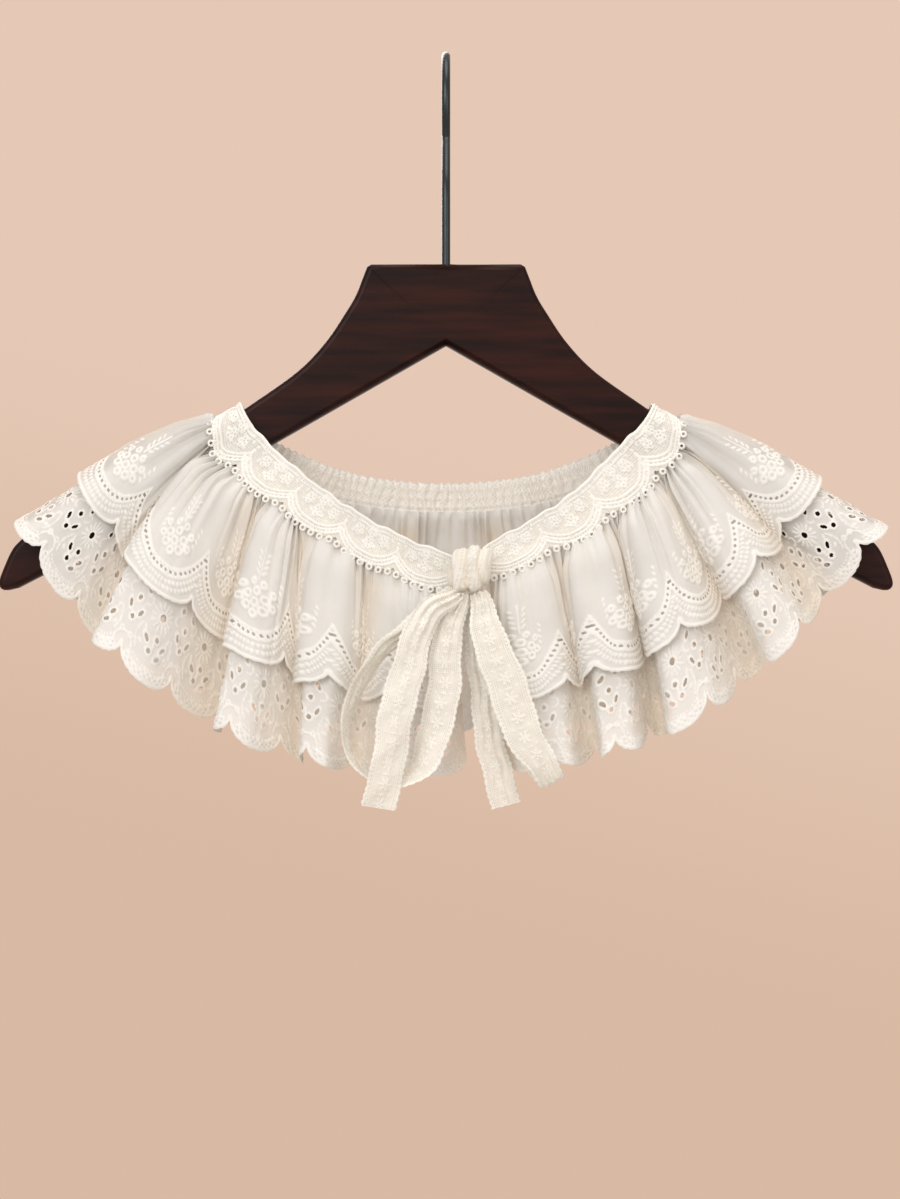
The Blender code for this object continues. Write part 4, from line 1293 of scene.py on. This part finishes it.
# The ribbon wraps over the knot from top to bottom, in soft pleats
def makeKnot():
    half = knot["half"]
    around = 2 * math.pi * half[2] * knot["wrap"][0]
    across = math.pi * half[0] * knot["wrap"][1]
    turns = evenSteps(0.0, 2 * np.pi, knot["cell"], around)
    sides = evenSteps(knot["pole"], np.pi - knot["pole"], knot["cell"], across)
    turns, sides = np.meshgrid(turns, sides)
    ring = np.sin(sides)
    ball = np.stack([-np.cos(sides), -ring * np.cos(turns), ring * np.sin(turns)], -1)
    x, z = ball[..., 0], ball[..., 2]
    square = (np.abs(ball) ** 3).sum(-1) ** (1 / 3)
    pleat = x * 1.35 + 0.22 * np.sin(turns) + 0.1 * np.sin(2 * turns + 1.0)
    creases = 0.3 * np.sin(4.0 * z + 2.6 * x + 0.5)
    deep, count = knot["pleats"]
    wave = np.sin(count * pleat + creases + 0.4)
    fineDeep, fineCount = knot["finePleats"]
    folds = 1.0 + ring * (deep * wave + fineDeep * np.sin(fineCount * pleat + 1.2))
    run, up = turns / (2 * np.pi) * around, (sides / np.pi - 0.5) * across * knot["spread"]
    drawing = drawRibbon(run, up)
    points = ball * half * (folds / square)[..., None]
    points[..., 0] += knot["lean"] * points[..., 2]
    relief = unit(ball / half) * (knot["relief"] * drawing.height * ring)[..., None]
    points = points + relief + np.array(knot["middle"])
    layers = {
        "thread": drawing.thread,
        "pierced": knot["open"] * drawing.pierced,
        # Painted shade in the troughs of the knot's pleats, with the warm shade tint
        "paintedShade": knot["tint"] * np.clip(-wave, 0, 1) ** 2 * ring,
    }
    ob = gridPiece("bowKnot", points, run, up, layers, ribbonLace)
    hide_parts("bow_knot")
    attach(ob, "root")
    print("made knot")


makeKnot()

board = {
    "thickness": 12.0,
    "edge": 2.6,
    "rounding": 6,
    "plateauZ": -91.6,
    "cornerX": 33.4,
    "apexZ": -127.9,
}
boardTop = [
    (35.4, -92.8), (37.4, -98), (40.4, -105.5), (44.8, -113),
    (54, -126.6), (67, -140), (89.9, -156.2),
]
boardTip = [
    (188.3, -213.1), (193.6, -218.6), (197.4, -226.5),
    (200, -234.2), (197.6, -237.4), (191.6, -236.4),
]
boardUnder = (177.3, -229.0)
woodLook = {
    "finish": {"Roughness": 0.4, "Specular IOR Level": 0.14, "Coat Weight": 0.05, "Coat Roughness": 0.2},
    "stretch": (14.0, 160.0, 160.0),
    "grain": {"Scale": 1.4, "Detail": 6.0},
    "tones": ((0.35, (0.010, 0.0022, 0.0014, 1)), (0.68, (0.034, 0.0065, 0.0038, 1))),
}
metalLook = {
    "finish": {"Base Color": (0.05, 0.058, 0.064, 1), "Metallic": 0.9},
    "toneScale": 300.0,
    "roughness": {"To Min": 0.24, "To Max": 0.4},
}


def boardOutline():
    outline = [(0.0, board["plateauZ"]), (board["cornerX"], board["plateauZ"])]
    for corners, steps in ((boardTop, 8), (boardTip, 4)):
        at = np.linspace(0.0, len(corners) - 1.0, steps * (len(corners) - 1) + 1)
        x, z = zip(*corners)
        outline += list(zip(through(x, at), through(z, at)))
    return outline + [boardUnder, (0.0, board["apexZ"])]


# One arm of the hanger, with every edge rounded but those of the joint in the middle
def makeArm(name, node, side):
    bm = bmesh.new()
    half = board["thickness"] / 2
    face = bm.faces.new([bm.verts.new(Vector((side * x, -half, z)) * mm) for x, z in boardOutline()])
    made = bmesh.ops.extrude_face_region(bm, geom=[face], use_keep_orig=True)
    raised = [item for item in made["geom"] if isinstance(item, bmesh.types.BMVert)]
    bmesh.ops.translate(bm, verts=raised, vec=Vector((0, board["thickness"] * mm, 0)))
    bmesh.ops.recalc_face_normals(bm, faces=bm.faces[:])
    edges = []
    for edge in bm.edges:
        flat = abs(edge.verts[0].co.y - edge.verts[1].co.y) < 1e-6
        joint = all(abs(v.co.x) < 1e-6 for v in edge.verts)
        if flat and not joint:
            edges.append(edge)
    rounding = {"offset": board["edge"] * mm, "segments": board["rounding"], "profile": 0.5}
    bmesh.ops.bevel(bm, geom=edges, affect="EDGES", material=-1, **rounding)
    bmesh.ops.recalc_face_normals(bm, faces=bm.faces[:])
    ob = solidPiece(name, bm, wood, node)
    for face in ob.data.polygons:
        face.use_smooth = abs(face.normal.y) < 0.999


def lacqueredWood():
    made, tree, shader = newMaterial("lacqueredWood", woodLook["finish"])
    place = addNode(tree, "TexCoord").outputs["Object"]
    stretched = addNode(tree, "Mapping", {"Scale": woodLook["stretch"], "Vector": place}).outputs[0]
    grain = addNode(tree, "TexNoise", {"Vector": stretched, **woodLook["grain"]})
    ramp = addNode(tree, "ValToRGB", {0: grain.outputs[0]})
    for element, (position, colour) in zip(ramp.color_ramp.elements, woodLook["tones"]):
        element.position = position
        element.color = colour
    fill(tree, shader, {"Base Color": ramp.outputs[0]})
    return made


def darkMetal():
    made, tree, shader = newMaterial("darkMetal", metalLook["finish"])
    mask = toneMask(tree, metalLook["toneScale"])
    rough = addNode(tree, "MapRange", {"Value": mask, **metalLook["roughness"]})
    fill(tree, shader, {"Roughness": rough.outputs[0]})
    return made


wood = lacqueredWood()
metal = darkMetal()
makeArm("armLeft", "hanger_arm_left", -1)
makeArm("armRight", "hanger_arm_right", 1)
print("made hanger arms")

hook = {
    "wire": 1.9,
    "rounding": 5,
    "shank": [(0.0, -115.6), (0.0, -91.6), (0.0, -72.0), (0.0, -62.0), (0.8, -56.0), (4.2, -49.5)],
    "curl": 21.9,
    "middleZ": -20.0,
    "turns": range(-52, 225, 6),
}


def makeHook():
    points = list(hook["shank"])
    for degrees in hook["turns"]:
        angle = math.radians(degrees)
        points.append((hook["curl"] * math.cos(angle), hook["middleZ"] + hook["curl"] * math.sin(angle)))
    curve = bpy.data.curves.new("hook", "CURVE")
    curve.dimensions = "3D"
    curve.bevel_depth = hook["wire"] * mm
    curve.bevel_resolution = hook["rounding"]
    curve.use_fill_caps = True
    spline = curve.splines.new("POLY")
    spline.points.add(len(points) - 1)
    for point, (y, z) in zip(spline.points, points):
        point.co = (0.0, y * mm, z * mm, 1.0)
    spline.use_smooth = True
    curve.materials.append(metal)
    ob = addObject("hook", curve)
    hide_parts("hanger_hook")
    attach(ob, "root")
    print("made hook")


makeHook()
